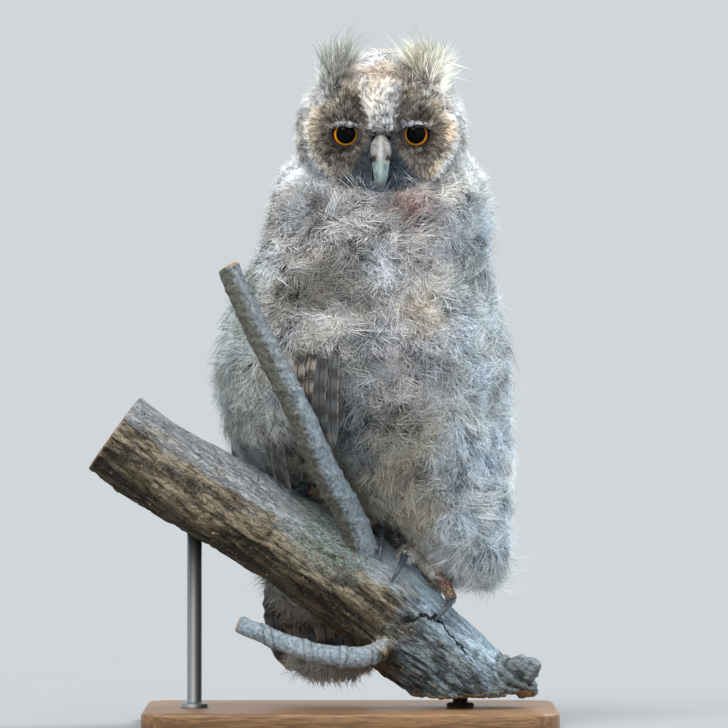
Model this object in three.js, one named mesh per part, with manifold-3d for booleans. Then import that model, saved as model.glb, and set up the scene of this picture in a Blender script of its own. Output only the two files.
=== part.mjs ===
// Fledgling long-eared owl on a cut length of branch, held by a plain display stand.
// Millimetres, +Z up. The owl looks along -Y, and left and right are the owl's own, so its right is at -X.
import * as THREE from 'three';
import { mergeVertices } from 'three/addons/utils/BufferGeometryUtils.js';
import Module from 'manifold-3d';

const wasm = await Module();
wasm.setup();

// Driving dimensions
const GAP = 0.3; // clearance that touching pieces keep
const TRUNK_GAP = 0.5; // the same, measured level, where the trunk's side slopes
const FAR = 600; // longer than the whole model, for cutting boxes

// Stand
const BASE = { width: 196, depth: 132, thickness: 9, corner: 14 };
const ROD_RADIUS = 3.5;
const LEFT_ROD_X = -74;
const RIGHT_ROD_X = 52;

// Perch: the axis of the branch lies in one upright plane
const PERCH_Y = -8;
const SAWN_END_Z = 14.5; // the lower end is sawn level
const BRANCH = [
  { x: -112, z: 139.5, radius: 21 },
  { x: -92, z: 125, radius: 21.2 },
  { x: -60, z: 106, radius: 21.5 },
  { x: -27, z: 86.5, radius: 22.5 },
  { x: 9, z: 63, radius: 24.5 },
  { x: 34, z: 39.5, radius: 23 },
  { x: 55, z: 22, radius: 21.5 },
  { x: 90, z: -12, radius: 21 },
];
const KNOT = { x: 79, y: -16, z: 27, radius: 10 };
const STUB = { from: [-99, -20, 105], to: [-128, -27, 99], radius: 3.6, tipRadius: 2 };
const SHOOT = [
  [6, -22, 84],
  [-1, -34, 102],
  [-12, -52, 122],
  [-24, -66, 150],
  [-44, -69, 189],
  [-57, -66, 217],
];
const SHOOT_RADIUS = { root: 7.4, end: 5.2 };
const TWIG = [
  [24, -22, 43],
  [8, -31, 34.5],
  [-14, -34, 35.5],
  [-34, -35, 42],
  [-53, -35, 50],
];
const TWIG_RADIUS = { root: 5.4, end: 4.1 };

// Trunk of the body out to the tips of the down: height, right side, left side, breast and back
const TRUNK = [
  [279, -10, 40, -1, 24],
  [272, -27, 56, -11, 31],
  [263, -34.5, 63, -27, 37],
  [252, -38, 65.5, -41, 41],
  [236, -41.5, 66, -47, 45],
  [218, -45.5, 63, -52, 49],
  [200, -52, 66, -57, 53],
  [180, -57, 70, -61, 57],
  [160, -58, 71, -62, 60],
  [140, -56.5, 72, -60, 62],
  [122, -54, 72.5, -52, 63],
  [107, -51, 70, -36, 63],
  [94, -48, 66, -10, 62],
  [78, -44, 59, 15.5, 60],
  [63, -36, 47, 20, 56],
  [54, -22, 30, 26, 50],
];
const TRUNK_SQUARENESS = 2.25; // exponent of the cross-section, 2 is an ellipse
const BELLY = { slope: 0.7, bend: 0.002, middle: 12, from: 190, to: 98, front: -14, back: 38 }; // follows the perch
const NECK_CUT = { z: 232, tilt: 0.16 };

// Head, built round the line of sight through the middle of the face
const HEAD = { x: 14.3, z: 279, middleY: -8, backY: 35, halfWidth: 42, up: 42, down: 31, roundness: 1.88 };
const DISC = {
  halfWidth: 34, up: 24, down: 23, front: -41.5, sweep: 13, rimHeight: 2.4, rimWidth: 0.1, dish: 4, dishRadius: 13,
};
const WEDGE = { height: 2.6, halfWidth: 7, bottom: -14, top: 6 }; // pale ridge between the eyes
const EYE = { spread: 16.5, z: 280.1, radius: 8.4, bulge: 1.6, openWidth: 12.8, openUp: 4.3, openDown: 5.5 };
const LID_THICKNESS = 1.5;
const BILL = { z: 279.5, tipZ: 253.8, halfWidth: 5, reach: 9.5 };
const TUFTS = {
  right: { x: -5.5, z: 310, y: -24, plumes: 11, height: 17.5, width: 13, lean: -3.5 },
  left: { x: 34, z: 310, y: -24, plumes: 12, height: 24, width: 15, lean: 3 },
};
const PLUME = { halfWidth: 2.3, halfThickness: 0.9 };

// Wings, as patches laid over the sides of the trunk. Bearings are degrees from the breast round to the owl's right.
// Each tier of flight feathers has its bearings, the heights of its roots and tips, and how far the tips stand out
const WING_RIGHT = {
  bearing: 62, halfSpan: 52, top: 233, bottom: 104, thickness: 7,
  tiers: [
    { count: 9, from: 30, to: 98, roots: 134, tips: 97, stand: 10, drift: -2 },
    { count: 11, from: 14, to: 100, roots: 168, tips: 123, stand: 3, drift: 3 },
  ],
};
const WING_LEFT = {
  bearing: -106, halfSpan: 38, top: 230, bottom: 114, thickness: 4.5,
  tiers: [
    { count: 7, from: -84, to: -134, roots: 140, tips: 102, stand: 3, drift: -2 },
    { count: 8, from: -80, to: -136, roots: 172, tips: 128, stand: 2, drift: -3 },
  ],
};
const VANE = { halfWidth: 5.2, halfThickness: 0.75 };

// Tail, hanging behind the perch
const TAIL = {
  rootX: -18, tipX: -9, y: 31, rootZ: 82, tipZ: 20.5, rootHalfWidth: 16, tipHalfWidth: 20, middleHalfWidth: 25,
  feathers: 12, coverts: { bottom: 50, halfWidth: 27, halfDepth: 9 },
};

// Legs and feet
const LEG = { radius: 7.5, ankle: 5.5 };
const TOE_RADIUS = 3.9;
const CLAW_RADIUS = 2;

const colours = {
  down: [0x9b968f, 1, 0],
  face: [0x5a4a3c, 1, 0],
  feather: [0x6d6054, 0.9, 0],
  horn: [0x8f9ca0, 0.4, 0],
  claw: [0x3b4148, 0.35, 0],
  skin: [0x8c6a60, 0.7, 0],
  eye: [0xe08a1c, 0.08, 0],
  bark: [0x8d8478, 0.95, 0],
  wood: [0x9a7650, 0.6, 0],
  steel: [0xb8bbbd, 0.3, 1],
};

const owl = new THREE.Group();
const lerp = THREE.MathUtils.lerp;
const radians = THREE.MathUtils.degToRad;
const fade = (value, from, to) => {
  const share = THREE.MathUtils.clamp((value - from) / (to - from), 0, 1);
  return share * share * (3 - 2 * share);
};
const vector = ([x, y, z]) => new THREE.Vector3(x, y, z);

const joined = (solids) => solids.reduce((all, next) => all.add(next));
const cut = (body, cutters) => cutters.reduce((all, cutter) => all.subtract(cutter), body);

// A repeatable run of numbers between 0 and 1
function seeded(seed) {
  let state = seed;
  return () => {
    state = (state * 1664525 + 1013904223) % 4294967296;
    return state / 4294967296;
  };
}
const chance = seeded(7);

// Closed three.js geometry to a solid
function solid(geometry) {
  geometry.deleteAttribute('normal');
  geometry.deleteAttribute('uv');
  const merged = mergeVertices(geometry, 1e-4);
  const vertProperties = Float32Array.from(merged.attributes.position.array);
  let triVerts = dropFlat(Uint32Array.from(merged.index.array));
  if (signedVolume(vertProperties, triVerts) < 0) {
    triVerts = triVerts.map((_, i, all) => all[i - (i % 3) + (2 - (i % 3))]);
  }
  return new wasm.Manifold(new wasm.Mesh({ numProp: 3, vertProperties, triVerts }));
}

function dropFlat(index) {
  const kept = [];
  for (let i = 0; i < index.length; i += 3) {
    const [a, b, c] = index.subarray(i, i + 3);
    if (a !== b && b !== c && a !== c) kept.push(a, b, c);
  }
  return Uint32Array.from(kept);
}

function signedVolume(points, index) {
  const corner = (i) => new THREE.Vector3().fromArray(points, index[i] * 3);
  let sum = 0;
  for (let i = 0; i < index.length; i += 3) {
    sum += corner(i).dot(corner(i + 1).cross(corner(i + 2)));
  }
  return sum / 6;
}

// The largest closed surface of a solid becomes a named mesh of the group
function addNode(name, shape, finish) {
  const largest = shape.decompose().sort((a, b) => b.volume() - a.volume())[0];
  const { vertProperties, triVerts } = largest.getMesh();
  const geometry = new THREE.BufferGeometry();
  geometry.setAttribute('position', new THREE.BufferAttribute(Float32Array.from(vertProperties), 3));
  geometry.setIndex(new THREE.BufferAttribute(Uint32Array.from(triVerts), 1));
  const [color, roughness, metalness] = colours[finish];
  const mesh = new THREE.Mesh(geometry, new THREE.MeshStandardMaterial({ color, roughness, metalness }));
  mesh.name = name;
  owl.add(mesh);
}

// A closed form with the net of a sphere: place(angle, row, rows) gives each point, and the end rows are single points
function form(around, rows, place) {
  const net = new THREE.SphereGeometry(1, around, rows);
  const point = net.attributes.position;
  for (let i = 0; i < point.count; i += 1) {
    const row = Math.floor(i / (around + 1));
    const angle = ((i % (around + 1)) % around) * ((2 * Math.PI) / around);
    const [x, y, z] = place(angle, row, rows);
    point.setXYZ(i, x, y, z);
  }
  return solid(net);
}

// A smooth function through the rows of a table whose first column rises
function throughRows(table) {
  const places = table.map((row) => row[0]);
  const values = table.flatMap((row) => row.slice(1));
  const curve = new THREE.CubicInterpolant(places, values, table[0].length - 1);
  return (place) => Array.from(curve.evaluate(place));
}

// A closed piece swept along a curve, with flat ends. half(share) gives half the width and half the thickness,
// face is the way in which the thickness is measured, and grow makes it larger all round
function sweep({ points, half, face, around = 8, rings = 8, grow = 0 }) {
  const curve = new THREE.CatmullRomCurve3(points.map(vector));
  const look = vector(face);
  return form(around, rings + 1, (angle, row, rows) => {
    const share = THREE.MathUtils.clamp((row - 1) / (rows - 2), 0, 1);
    const closing = row === 0 || row === rows;
    const [halfWidth, halfThickness] = closing ? [0, 0] : half(share).map((value) => value + grow);
    const along = curve.getTangentAt(share);
    const side = new THREE.Vector3().crossVectors(along, look).normalize();
    const out = new THREE.Vector3().crossVectors(side, along);
    const longer = grow * (Number(share === 1) - Number(share === 0));
    return curve
      .getPointAt(share)
      .addScaledVector(along, longer)
      .addScaledVector(side, Math.cos(angle) * halfWidth)
      .addScaledVector(out, Math.sin(angle) * halfThickness)
      .toArray();
  });
}

function box(width, depth, height, x, y, z) {
  return solid(new THREE.BoxGeometry(width, depth, height).translate(x, y, z));
}

// A round sweep that narrows evenly from one radius to another
function taperedTube(points, from, to, around, rings, grow = 0) {
  const half = (share) => {
    const radius = lerp(from, to, share);
    return [radius, radius];
  };
  return sweep({ points, half, face: [0.1, 1, 0], around, rings, grow });
}

// Perch
const branchLine = new THREE.CatmullRomCurve3(BRANCH.map(({ x, z }) => new THREE.Vector3(x, PERCH_Y, z)));
const branchRadiusAlong = throughRows(BRANCH.map(({ radius }, i) => [i / (BRANCH.length - 1), radius]));
const branchRadius = (share) => branchRadiusAlong(share)[0];

function branchBody(grow) {
  return form(18, 22, (angle, row, rows) => {
    const share = THREE.MathUtils.clamp((row - 1) / (rows - 2), 0, 1);
    const along = branchLine.getTangent(share);
    const up = new THREE.Vector3(-along.z, 0, along.x);
    const swelling = 1 + 0.025 * Math.sin(3 * angle + 9 * share) + 0.015 * Math.sin(5 * angle - 23 * share);
    const radius = row === 0 || row === rows ? 0 : branchRadius(share) * swelling + grow;
    return branchLine
      .getPoint(share)
      .addScaledVector(up, Math.sin(angle) * radius)
      .add(new THREE.Vector3(0, Math.cos(angle) * radius, 0))
      .toArray();
  });
}

function branch(grow = 0) {
  const knot = new THREE.SphereGeometry(KNOT.radius + grow, 12, 8).scale(1.1, 0.8, 0.9);
  const stub = taperedTube([STUB.from, STUB.to], STUB.radius, STUB.tipRadius, 8, 5, grow);
  return branchBody(grow)
    .add(solid(knot.translate(KNOT.x, KNOT.y, KNOT.z)))
    .add(stub)
    .subtract(box(FAR, FAR, FAR, 0, 0, SAWN_END_Z - grow - FAR / 2));
}

// A point on the branch at a share of its length, an angle from its top towards the front, and a height above it
function onBranch(share, angle, height) {
  const along = branchLine.getTangent(share);
  const up = new THREE.Vector3(-along.z, 0, along.x);
  const radius = branchRadius(share) + height;
  return branchLine
    .getPoint(share)
    .addScaledVector(up, Math.cos(angle) * radius)
    .add(new THREE.Vector3(0, -Math.sin(angle) * radius, 0));
}

const shoot = (grow = 0) => taperedTube(SHOOT, SHOOT_RADIUS.root, SHOOT_RADIUS.end, 10, 14, grow);
const twig = (grow = 0) => taperedTube(TWIG, TWIG_RADIUS.root, TWIG_RADIUS.end, 10, 12, grow);

// Trunk
const trunkRow = throughRows(TRUNK.map(([height, ...rest]) => [TRUNK[0][0] - height, ...rest]));
const TRUNK_TOP = TRUNK[0][0];
const TRUNK_BOTTOM = TRUNK[TRUNK.length - 1][0];
const squarer = (value) => Math.sign(value) * Math.abs(value) ** (2 / TRUNK_SQUARENESS);

// A point of the trunk's surface at a height and a bearing, moved out by a distance
function onTrunk(height, bearing, out = 0) {
  const [right, left, front, back] = trunkRow(TRUNK_TOP - height);
  const across = -squarer(Math.sin(bearing));
  const deep = -squarer(Math.cos(bearing));
  const x = (right + left) / 2 + (across * (left - right)) / 2;
  const y = (front + back) / 2 + (deep * (back - front)) / 2;
  const low = fade(height, BELLY.from, BELLY.to) * fade(y, BELLY.back, BELLY.front);
  const upward = fade(height, NECK_CUT.z, TRUNK_TOP) - fade(height, BELLY.from, BELLY.to);
  const aside = x - BELLY.middle;
  const drop = (BELLY.slope * aside + BELLY.bend * aside ** 2) * low;
  return [x + across * out, y + deep * out, height - drop + upward * out];
}

function trunk(grow = 0) {
  return form(32, 23, (angle, row, rows) => {
    const share = THREE.MathUtils.clamp((row - 1) / (rows - 2), 0, 1);
    const height = lerp(TRUNK_TOP, TRUNK_BOTTOM, share);
    if (row > 0 && row < rows) return onTrunk(height, angle, grow);
    const [right, left, front, back] = trunkRow(TRUNK_TOP - height);
    return [(right + left) / 2, (front + back) / 2, height + (row === 0 ? grow : -grow)];
  });
}

// Half of space above or below the cut between neck and torso, held back by half the gap
function neckSide(above) {
  const slab = new THREE.BoxGeometry(FAR, FAR, FAR);
  const lift = above ? FAR / 2 + GAP / 2 : -FAR / 2 - GAP / 2;
  return solid(slab.translate(0, 0, lift).rotateX(NECK_CUT.tilt).translate(0, 0, NECK_CUT.z));
}

// Head
const oval = (angle, halfWidth, up, down, exponent) => {
  const height = Math.sin(angle) > 0 ? up : down;
  const sum = Math.abs(Math.cos(angle) / halfWidth) ** exponent + Math.abs(Math.sin(angle) / height) ** exponent;
  return sum ** (-1 / exponent);
};
const bump = (distance, width) => Math.exp(-((distance / width) ** 2));

// How far forward the face lies at a point of the discs, measured across from the middle and up from the eye line
function faceY(across, up, shareOfDisc) {
  const eyeDistance = Math.hypot(Math.abs(across) - EYE.spread, up - (EYE.z - HEAD.z));
  const curve = DISC.sweep * (across / DISC.halfWidth) ** 2;
  const dish = DISC.dish * bump(eyeDistance, DISC.dishRadius);
  const wedge = WEDGE.height * bump(across, WEDGE.halfWidth) * fade(up, WEDGE.bottom, WEDGE.top);
  const rim = DISC.rimHeight * bump(shareOfDisc - 1, DISC.rimWidth);
  return DISC.front + curve + dish - wedge - rim;
}

function headBody(grow = 0) {
  const faceRows = 10;
  return form(36, 20, (angle, row, rows) => {
    const disc = oval(angle, DISC.halfWidth, DISC.up, DISC.down, 2.4);
    const outline = oval(angle, HEAD.halfWidth, HEAD.up, HEAD.down, HEAD.roundness) + grow;
    const shareOfDisc = Math.min(row / faceRows, 1);
    const out = disc * shareOfDisc;
    const face = faceY(Math.cos(angle) * out, Math.sin(angle) * out, shareOfDisc) - grow;
    if (row <= faceRows) return [HEAD.x + Math.cos(angle) * out, face, HEAD.z + Math.sin(angle) * out];
    const turn = ((row - faceRows) / (rows - faceRows)) * Math.PI;
    const widening = turn < Math.PI / 2;
    const radius = widening ? lerp(disc, outline, Math.sin(turn)) : outline * Math.sin(turn);
    const back = widening
      ? lerp(face, HEAD.middleY, 1 - Math.cos(turn))
      : lerp(HEAD.middleY, HEAD.backY + grow, -Math.cos(turn));
    return [HEAD.x + Math.cos(angle) * radius, back, HEAD.z + Math.sin(angle) * radius];
  });
}

const eyeY = faceY(EYE.spread, EYE.z - HEAD.z, 0.5) + EYE.radius - EYE.bulge;
const eyeX = (side) => HEAD.x + side * EYE.spread;

// An eyeball, or the dome that its lids make over it
function eye(side, grow = 0) {
  const ball = new THREE.SphereGeometry(EYE.radius + grow, 16, 10).rotateX(Math.PI / 2);
  return solid(ball.translate(eyeX(side), eyeY, EYE.z));
}

// The opening between the lids, hooded above
function lidOpening(side) {
  const edge = new THREE.Shape();
  const corners = 16;
  for (let i = 0; i < corners; i += 1) {
    const angle = (2 * Math.PI * i) / corners;
    const height = Math.sin(angle) > 0 ? EYE.openUp : EYE.openDown;
    const point = [(Math.cos(angle) * EYE.openWidth) / 2, Math.sin(angle) * height];
    if (i === 0) edge.moveTo(...point);
    else edge.lineTo(...point);
  }
  edge.closePath();
  const prism = new THREE.ExtrudeGeometry(edge, { depth: 40, bevelEnabled: false });
  return solid(prism.rotateX(Math.PI / 2).translate(eyeX(side), eyeY, EYE.z));
}

// Bill
function upperBill(grow = 0) {
  const points = [
    [HEAD.x, DISC.front + 6, BILL.z - 1],
    [HEAD.x, DISC.front - BILL.reach * 0.35, BILL.z - 4.5],
    [HEAD.x, DISC.front - BILL.reach * 0.85, BILL.z - 11],
    [HEAD.x, DISC.front - BILL.reach * 0.95, BILL.z - 18],
    [HEAD.x, DISC.front - BILL.reach * 0.72, BILL.tipZ],
  ];
  const section = throughRows([[0, 0.84, 0.8], [0.25, 1, 0.92], [0.5, 0.8, 0.84], [0.8, 0.48, 0.48], [1, 0.1, 0.1]]);
  const half = (share) => section(share).map((part) => part * BILL.halfWidth);
  return sweep({ points, half, face: [0, -1, 0.25], around: 12, rings: 9, grow });
}

function lowerBill(grow = 0) {
  const points = [
    [HEAD.x, DISC.front + 5, BILL.z - 14],
    [HEAD.x, DISC.front - 0.5, BILL.z - 18.5],
    [HEAD.x, DISC.front - BILL.reach * 0.5, BILL.z - 22.5],
  ];
  const half = (share) => [lerp(4.2, 1.6, share), lerp(2.6, 1, share)];
  return sweep({ points, half, face: [0, -1, 0.5], around: 8, rings: 5, grow });
}

const nostril = (side) =>
  solid(new THREE.SphereGeometry(1, 10, 8).scale(1.1, 1.6, 1.9).translate(
    HEAD.x + side * 3.5, DISC.front - BILL.reach * 0.85 - 2.6, BILL.z - 11));

// A long flat feather or lock, widest past its middle and drawn in to its root and tip
function blade(points, face, { halfWidth, halfThickness }, rings = 5) {
  const half = (share) => {
    const swell = 0.3 + 0.7 * Math.sin(Math.PI * Math.min(0.08 + share * 0.86, 1)) ** 0.7;
    return [halfWidth * swell, halfThickness * lerp(1.15, 0.55, share)];
  };
  return sweep({ points, half, face, around: 4, rings });
}

// Ear tuft, a brush of soft plumes that spread out to both sides
function tuft({ x, y, z, plumes, height, width, lean }) {
  const base = new THREE.SphereGeometry(1, 10, 6).scale(width * 0.48, 8, 9).translate(x, y + 1, z + 1);
  const fan = [];
  for (let i = 0; i < plumes; i += 1) {
    const spread = (2 * i) / (plumes - 1) - 1;
    const behind = i % 2 ? 3 : -1.5;
    const tall = height * (1 - 0.3 * Math.abs(spread)) * lerp(0.88, 1.06, chance());
    const reach = spread * width * 0.5 + lean * (0.6 + 0.4 * chance());
    const root = [x + spread * width * 0.3, y + behind * 0.4, z - 5];
    const middle = [root[0] + reach * 0.35, y + behind, z + tall * 0.5];
    const tip = [root[0] + reach, y + behind * 1.6 + 3 * chance(), z + tall];
    fan.push(blade([root, middle, tip], [0.35 * spread, -1, 0], PLUME));
  }
  return joined([solid(base), ...fan]);
}

// Wing, a lens laid over the side of the trunk that carries tiers of flight feathers
function wing({ bearing, halfSpan, top, bottom, thickness, tiers }) {
  const lens = form(18, 10, (angle, row, rows) => {
    const turn = (row / rows) * Math.PI;
    const across = Math.sin(turn) * Math.cos(angle);
    const along = Math.sin(turn) * Math.sin(angle);
    const height = (top + bottom) / 2 + ((top - bottom) / 2) * along;
    return onTrunk(height, radians(bearing + halfSpan * across), thickness * Math.cos(turn));
  });
  const feathers = tiers.flatMap((tier) => wingTier(tier, thickness));
  return joined([lens, ...feathers]);
}

function wingTier({ count, from, to, roots, tips, stand, drift }, thickness) {
  const feathers = [];
  for (let i = 0; i < count; i += 1) {
    const bearing = lerp(from, to, i / (count - 1));
    const tipHeight = tips + 7 * Math.abs(i / (count - 1) - 0.4) + 3 * chance();
    const layer = (i % 2) * 0.9;
    const root = onTrunk(roots, radians(bearing), thickness * 0.45);
    const middle = onTrunk(lerp(roots, tipHeight, 0.5), radians(bearing + drift * 0.4), thickness * 0.75 + layer);
    const tip = onTrunk(tipHeight, radians(bearing + drift), stand + layer);
    const face = [-Math.sin(radians(bearing)), -Math.cos(radians(bearing)), 0];
    feathers.push(blade([root, middle, tip], face, VANE, 4));
  }
  return feathers;
}

// Tail, a fan of overlapping feathers under a core of short coverts
function tail() {
  const { rootX, tipX, y, rootZ, tipZ, rootHalfWidth, middleHalfWidth, tipHalfWidth, feathers, coverts } = TAIL;
  const core = new THREE.SphereGeometry(1, 14, 8).scale(coverts.halfWidth, coverts.halfDepth, rootZ - coverts.bottom);
  const fan = [];
  for (let i = 0; i < feathers; i += 1) {
    const spread = (2 * i) / (feathers - 1) - 1;
    const layer = Math.abs(spread) * 3 + (i % 2) * 1.1;
    const root = [rootX + spread * rootHalfWidth, y + 2, rootZ];
    const middle = [(rootX + tipX) / 2 + spread * middleHalfWidth, y + layer, (rootZ + tipZ) / 2];
    const end = tipZ + 6 * spread ** 2 + 2.5 * chance();
    const tip = [tipX + spread * tipHalfWidth, y - 2 + layer, end];
    fan.push(blade([root, middle, tip], [0.2 * spread, -1, 0], { halfWidth: 5.6, halfThickness: 0.8 }, 6));
  }
  return joined([solid(core.translate(rootX, y + 3, rootZ)), ...fan]);
}

// Legs and feet. A foot stands at a share of the branch's length and an angle from its top towards the front
const FEET = {
  right: { share: 0.46, turn: -0.35, hip: [4, 6, 130] },
  left: { share: 0.588, turn: -0.12, hip: [33, 3, 112] },
};

function leg({ share, turn, hip }, grow = 0) {
  const ankle = onBranch(share, turn, 8).toArray();
  const knee = [lerp(hip[0], ankle[0], 0.5), lerp(hip[1], ankle[1], 0.5) - 3, lerp(hip[2], ankle[2], 0.5)];
  return taperedTube([hip, knee, ankle], LEG.radius, LEG.ankle, 10, 6, grow);
}

// Each toe runs to an angle round the branch and drifts along it, and its claw goes on from there
const TOES = {
  right: {
    inner: { turn: 0.06, drift: 0.06, clawTurn: 0.82, clawDrift: 0.03 },
    middle: { turn: 0.05, drift: -0.06, clawTurn: 0.5, clawDrift: -0.02 },
    outer: { turn: -1.05, drift: -0.05, clawTurn: -0.6, clawDrift: -0.01 },
    hind: { turn: -1.15, drift: 0.03, clawTurn: -0.6, clawDrift: 0 },
  },
  left: {
    inner: { turn: 0.5, drift: -0.012, clawTurn: 0.6, clawDrift: 0.01 },
    middle: { turn: 0.42, drift: 0.108, clawTurn: 0.6, clawDrift: 0.002 },
    outer: { turn: -0.95, drift: 0.07, clawTurn: -0.6, clawDrift: 0.01 },
    hind: { turn: -0.9, drift: -0.01, clawTurn: -0.6, clawDrift: -0.005 },
  },
};

function toePath(foot, { turn, drift }) {
  const shares = [0, 0.35, 0.7, 1];
  return shares.map((part) => {
    const height = TOE_RADIUS * (1 + 0.35 * Math.sin(part * Math.PI));
    return onBranch(foot.share + drift * part, lerp(foot.turn, turn, part), height).toArray();
  });
}

function toe(foot, shape, grow = 0) {
  const half = (share) => {
    const radius = TOE_RADIUS * (1 - 0.25 * share) * (1 + 0.06 * Math.cos(share * 25));
    return [radius, radius];
  };
  return sweep({ points: toePath(foot, shape), half, face: [0, 1, 0.2], around: 7, rings: 7, grow });
}

function claw(foot, { turn, drift, clawTurn, clawDrift }, grow = 0) {
  const shares = [-0.12, 0.35, 0.7, 1];
  const heights = [TOE_RADIUS * 0.9, TOE_RADIUS * 1.25, TOE_RADIUS * 0.95, 1.3];
  const points = shares.map((part, i) =>
    onBranch(foot.share + drift + clawDrift * part, turn + clawTurn * part, heights[i]).toArray());
  return taperedTube(points, CLAW_RADIUS, 0.35, 6, 6, grow);
}

// Adds a foot and its claws, and gives back the space that they take up
function addFoot(side, perch, neighbours) {
  const foot = FEET[side];
  const shapes = Object.entries(TOES[side]);
  const toes = (grow) => joined(shapes.map(([, shape]) => toe(foot, shape, grow)));
  const toeSpace = toes(GAP);
  addNode(`foot_${side}`, cut(toes(0), [perch, ...neighbours]), 'skin');
  for (const [name, shape] of shapes) {
    addNode(`claw_${side}_${name}`, cut(claw(foot, shape), [toeSpace, perch, ...neighbours]), 'claw');
  }
  return joined([toeSpace, ...shapes.map(([, shape]) => claw(foot, shape, GAP))]);
}

// Stand
function roundedPlate() {
  const { width, depth, thickness, corner } = BASE;
  const right = width / 2;
  const far = depth / 2;
  const outline = new THREE.Shape();
  outline.moveTo(corner - right, -far);
  outline.lineTo(right - corner, -far);
  outline.absarc(right - corner, corner - far, corner, -Math.PI / 2, 0);
  outline.lineTo(right, far - corner);
  outline.absarc(right - corner, far - corner, corner, 0, Math.PI / 2);
  outline.lineTo(corner - right, far);
  outline.absarc(corner - right, far - corner, corner, Math.PI / 2, Math.PI);
  outline.lineTo(-right, corner - far);
  outline.absarc(corner - right, corner - far, corner, Math.PI, 1.5 * Math.PI);
  const edge = { depth: thickness - 1.5, bevelSize: 1.5, bevelThickness: 1.5, bevelOffset: -1.5, bevelSegments: 1 };
  const plate = new THREE.ExtrudeGeometry(outline, { ...edge, curveSegments: 6 });
  const flatUnder = box(FAR, FAR, FAR, 0, 0, -FAR / 2);
  return solid(plate).subtract(flatUnder);
}

function rod(x, top) {
  const bottom = BASE.thickness + GAP;
  const stick = new THREE.CylinderGeometry(ROD_RADIUS, ROD_RADIUS, top - bottom, 20).rotateX(Math.PI / 2);
  return solid(stick.translate(x, PERCH_Y, (top + bottom) / 2));
}

// Assembly
const perch = branch();
const perchSpace = branch(GAP);
const trunkSpace = trunk(TRUNK_GAP);
const headSpace = headBody(GAP);
const shootSpace = shoot(GAP);
const legSpace = Object.values(FEET).map((foot) => leg(foot, GAP));

addNode('stand_base', roundedPlate(), 'wood');
addNode('stand_rod_left', rod(LEFT_ROD_X, 112).subtract(perchSpace), 'steel');
addNode('stand_rod_right', rod(RIGHT_ROD_X, SAWN_END_Z - GAP), 'steel');
addNode('perch_branch', perch, 'bark');
addNode('perch_shoot', shoot().subtract(perchSpace), 'bark');
addNode('perch_twig', twig().subtract(perchSpace), 'bark');

const sockets = [-1, 1].map((side) => eye(side, GAP).add(lidOpening(side)));
const skull = joined([headBody(), eye(-1, LID_THICKNESS), eye(1, LID_THICKNESS)]);
addNode('head', cut(skull, [...sockets, upperBill(GAP), lowerBill(GAP)]), 'face');
addNode('eye_right', eye(-1), 'eye');
addNode('eye_left', eye(1), 'eye');
addNode('bill_upper', cut(upperBill(), [nostril(-1), nostril(1)]), 'horn');
addNode('bill_lower', lowerBill().subtract(upperBill(GAP)), 'horn');
addNode('ear_tuft_right', tuft(TUFTS.right).subtract(headSpace), 'feather');
addNode('ear_tuft_left', tuft(TUFTS.left).subtract(headSpace), 'feather');

const rightFootSpace = addFoot('right', perchSpace, [shootSpace]);
const leftFootSpace = addFoot('left', perchSpace, [rightFootSpace]);
const footSpace = [rightFootSpace, leftFootSpace];
const flesh = cut(trunk(), [perchSpace, headSpace, shootSpace, upperBill(GAP), ...footSpace, ...legSpace]);
addNode('neck', flesh.intersect(neckSide(true)), 'down');
addNode('torso', flesh.intersect(neckSide(false)), 'down');
addNode('wing_right', cut(wing(WING_RIGHT), [trunkSpace, shootSpace, perchSpace, ...footSpace]), 'down');
addNode('wing_left', cut(wing(WING_LEFT), [trunkSpace, perchSpace]), 'down');
addNode('tail', cut(tail(), [trunkSpace, perchSpace]), 'feather');
addNode('leg_right', cut(leg(FEET.right), [perchSpace, ...footSpace]), 'down');
addNode('leg_left', cut(leg(FEET.left), [perchSpace, legSpace[0], ...footSpace]), 'down');

export default owl;
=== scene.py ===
"""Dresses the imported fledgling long-eared owl with down, feathers, face, feet, bark and stand.

Everything is in metres in the frame's axes: +Z is up, the owl looks along -Y and its right side is at -X.
Sizes that are written in millimetres carry the factor MM.
"""

import logging
import math
from dataclasses import dataclass, field
from enum import Enum
from typing import Callable, Sequence

import bmesh
import bpy
import numpy as np
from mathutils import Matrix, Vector
from mathutils.bvhtree import BVHTree


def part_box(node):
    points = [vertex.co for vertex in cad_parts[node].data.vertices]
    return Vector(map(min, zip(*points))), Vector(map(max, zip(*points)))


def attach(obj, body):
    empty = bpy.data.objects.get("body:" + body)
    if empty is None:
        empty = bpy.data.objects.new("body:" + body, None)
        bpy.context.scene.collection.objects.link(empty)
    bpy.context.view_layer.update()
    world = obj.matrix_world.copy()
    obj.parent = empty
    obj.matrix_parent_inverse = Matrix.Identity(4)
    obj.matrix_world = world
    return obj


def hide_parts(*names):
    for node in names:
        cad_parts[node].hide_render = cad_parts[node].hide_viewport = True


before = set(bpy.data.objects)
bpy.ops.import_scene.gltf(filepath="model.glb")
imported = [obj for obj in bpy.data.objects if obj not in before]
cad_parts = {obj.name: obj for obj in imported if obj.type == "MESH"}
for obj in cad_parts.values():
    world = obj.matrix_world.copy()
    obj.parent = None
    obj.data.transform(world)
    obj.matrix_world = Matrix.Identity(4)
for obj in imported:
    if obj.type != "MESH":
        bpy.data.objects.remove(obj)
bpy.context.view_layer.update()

MM = 0.001
PATCH = 0.003  # size of a tuft's patch on the OFBake map
WAVES = 4.2  # how far a strand's swing turns from root to tip, in radians
MERGED = 0.002 * MM  # corners of a CAD node closer than this are one
LOG = logging.getLogger("owl")
Array = np.ndarray
Draw = np.random.Generator
Density = Callable[[Array], Array]
Mesh = tuple[Array, Array]
Piece = bpy.types.Object
Material = bpy.types.Material


# Vectors in rows


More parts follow.
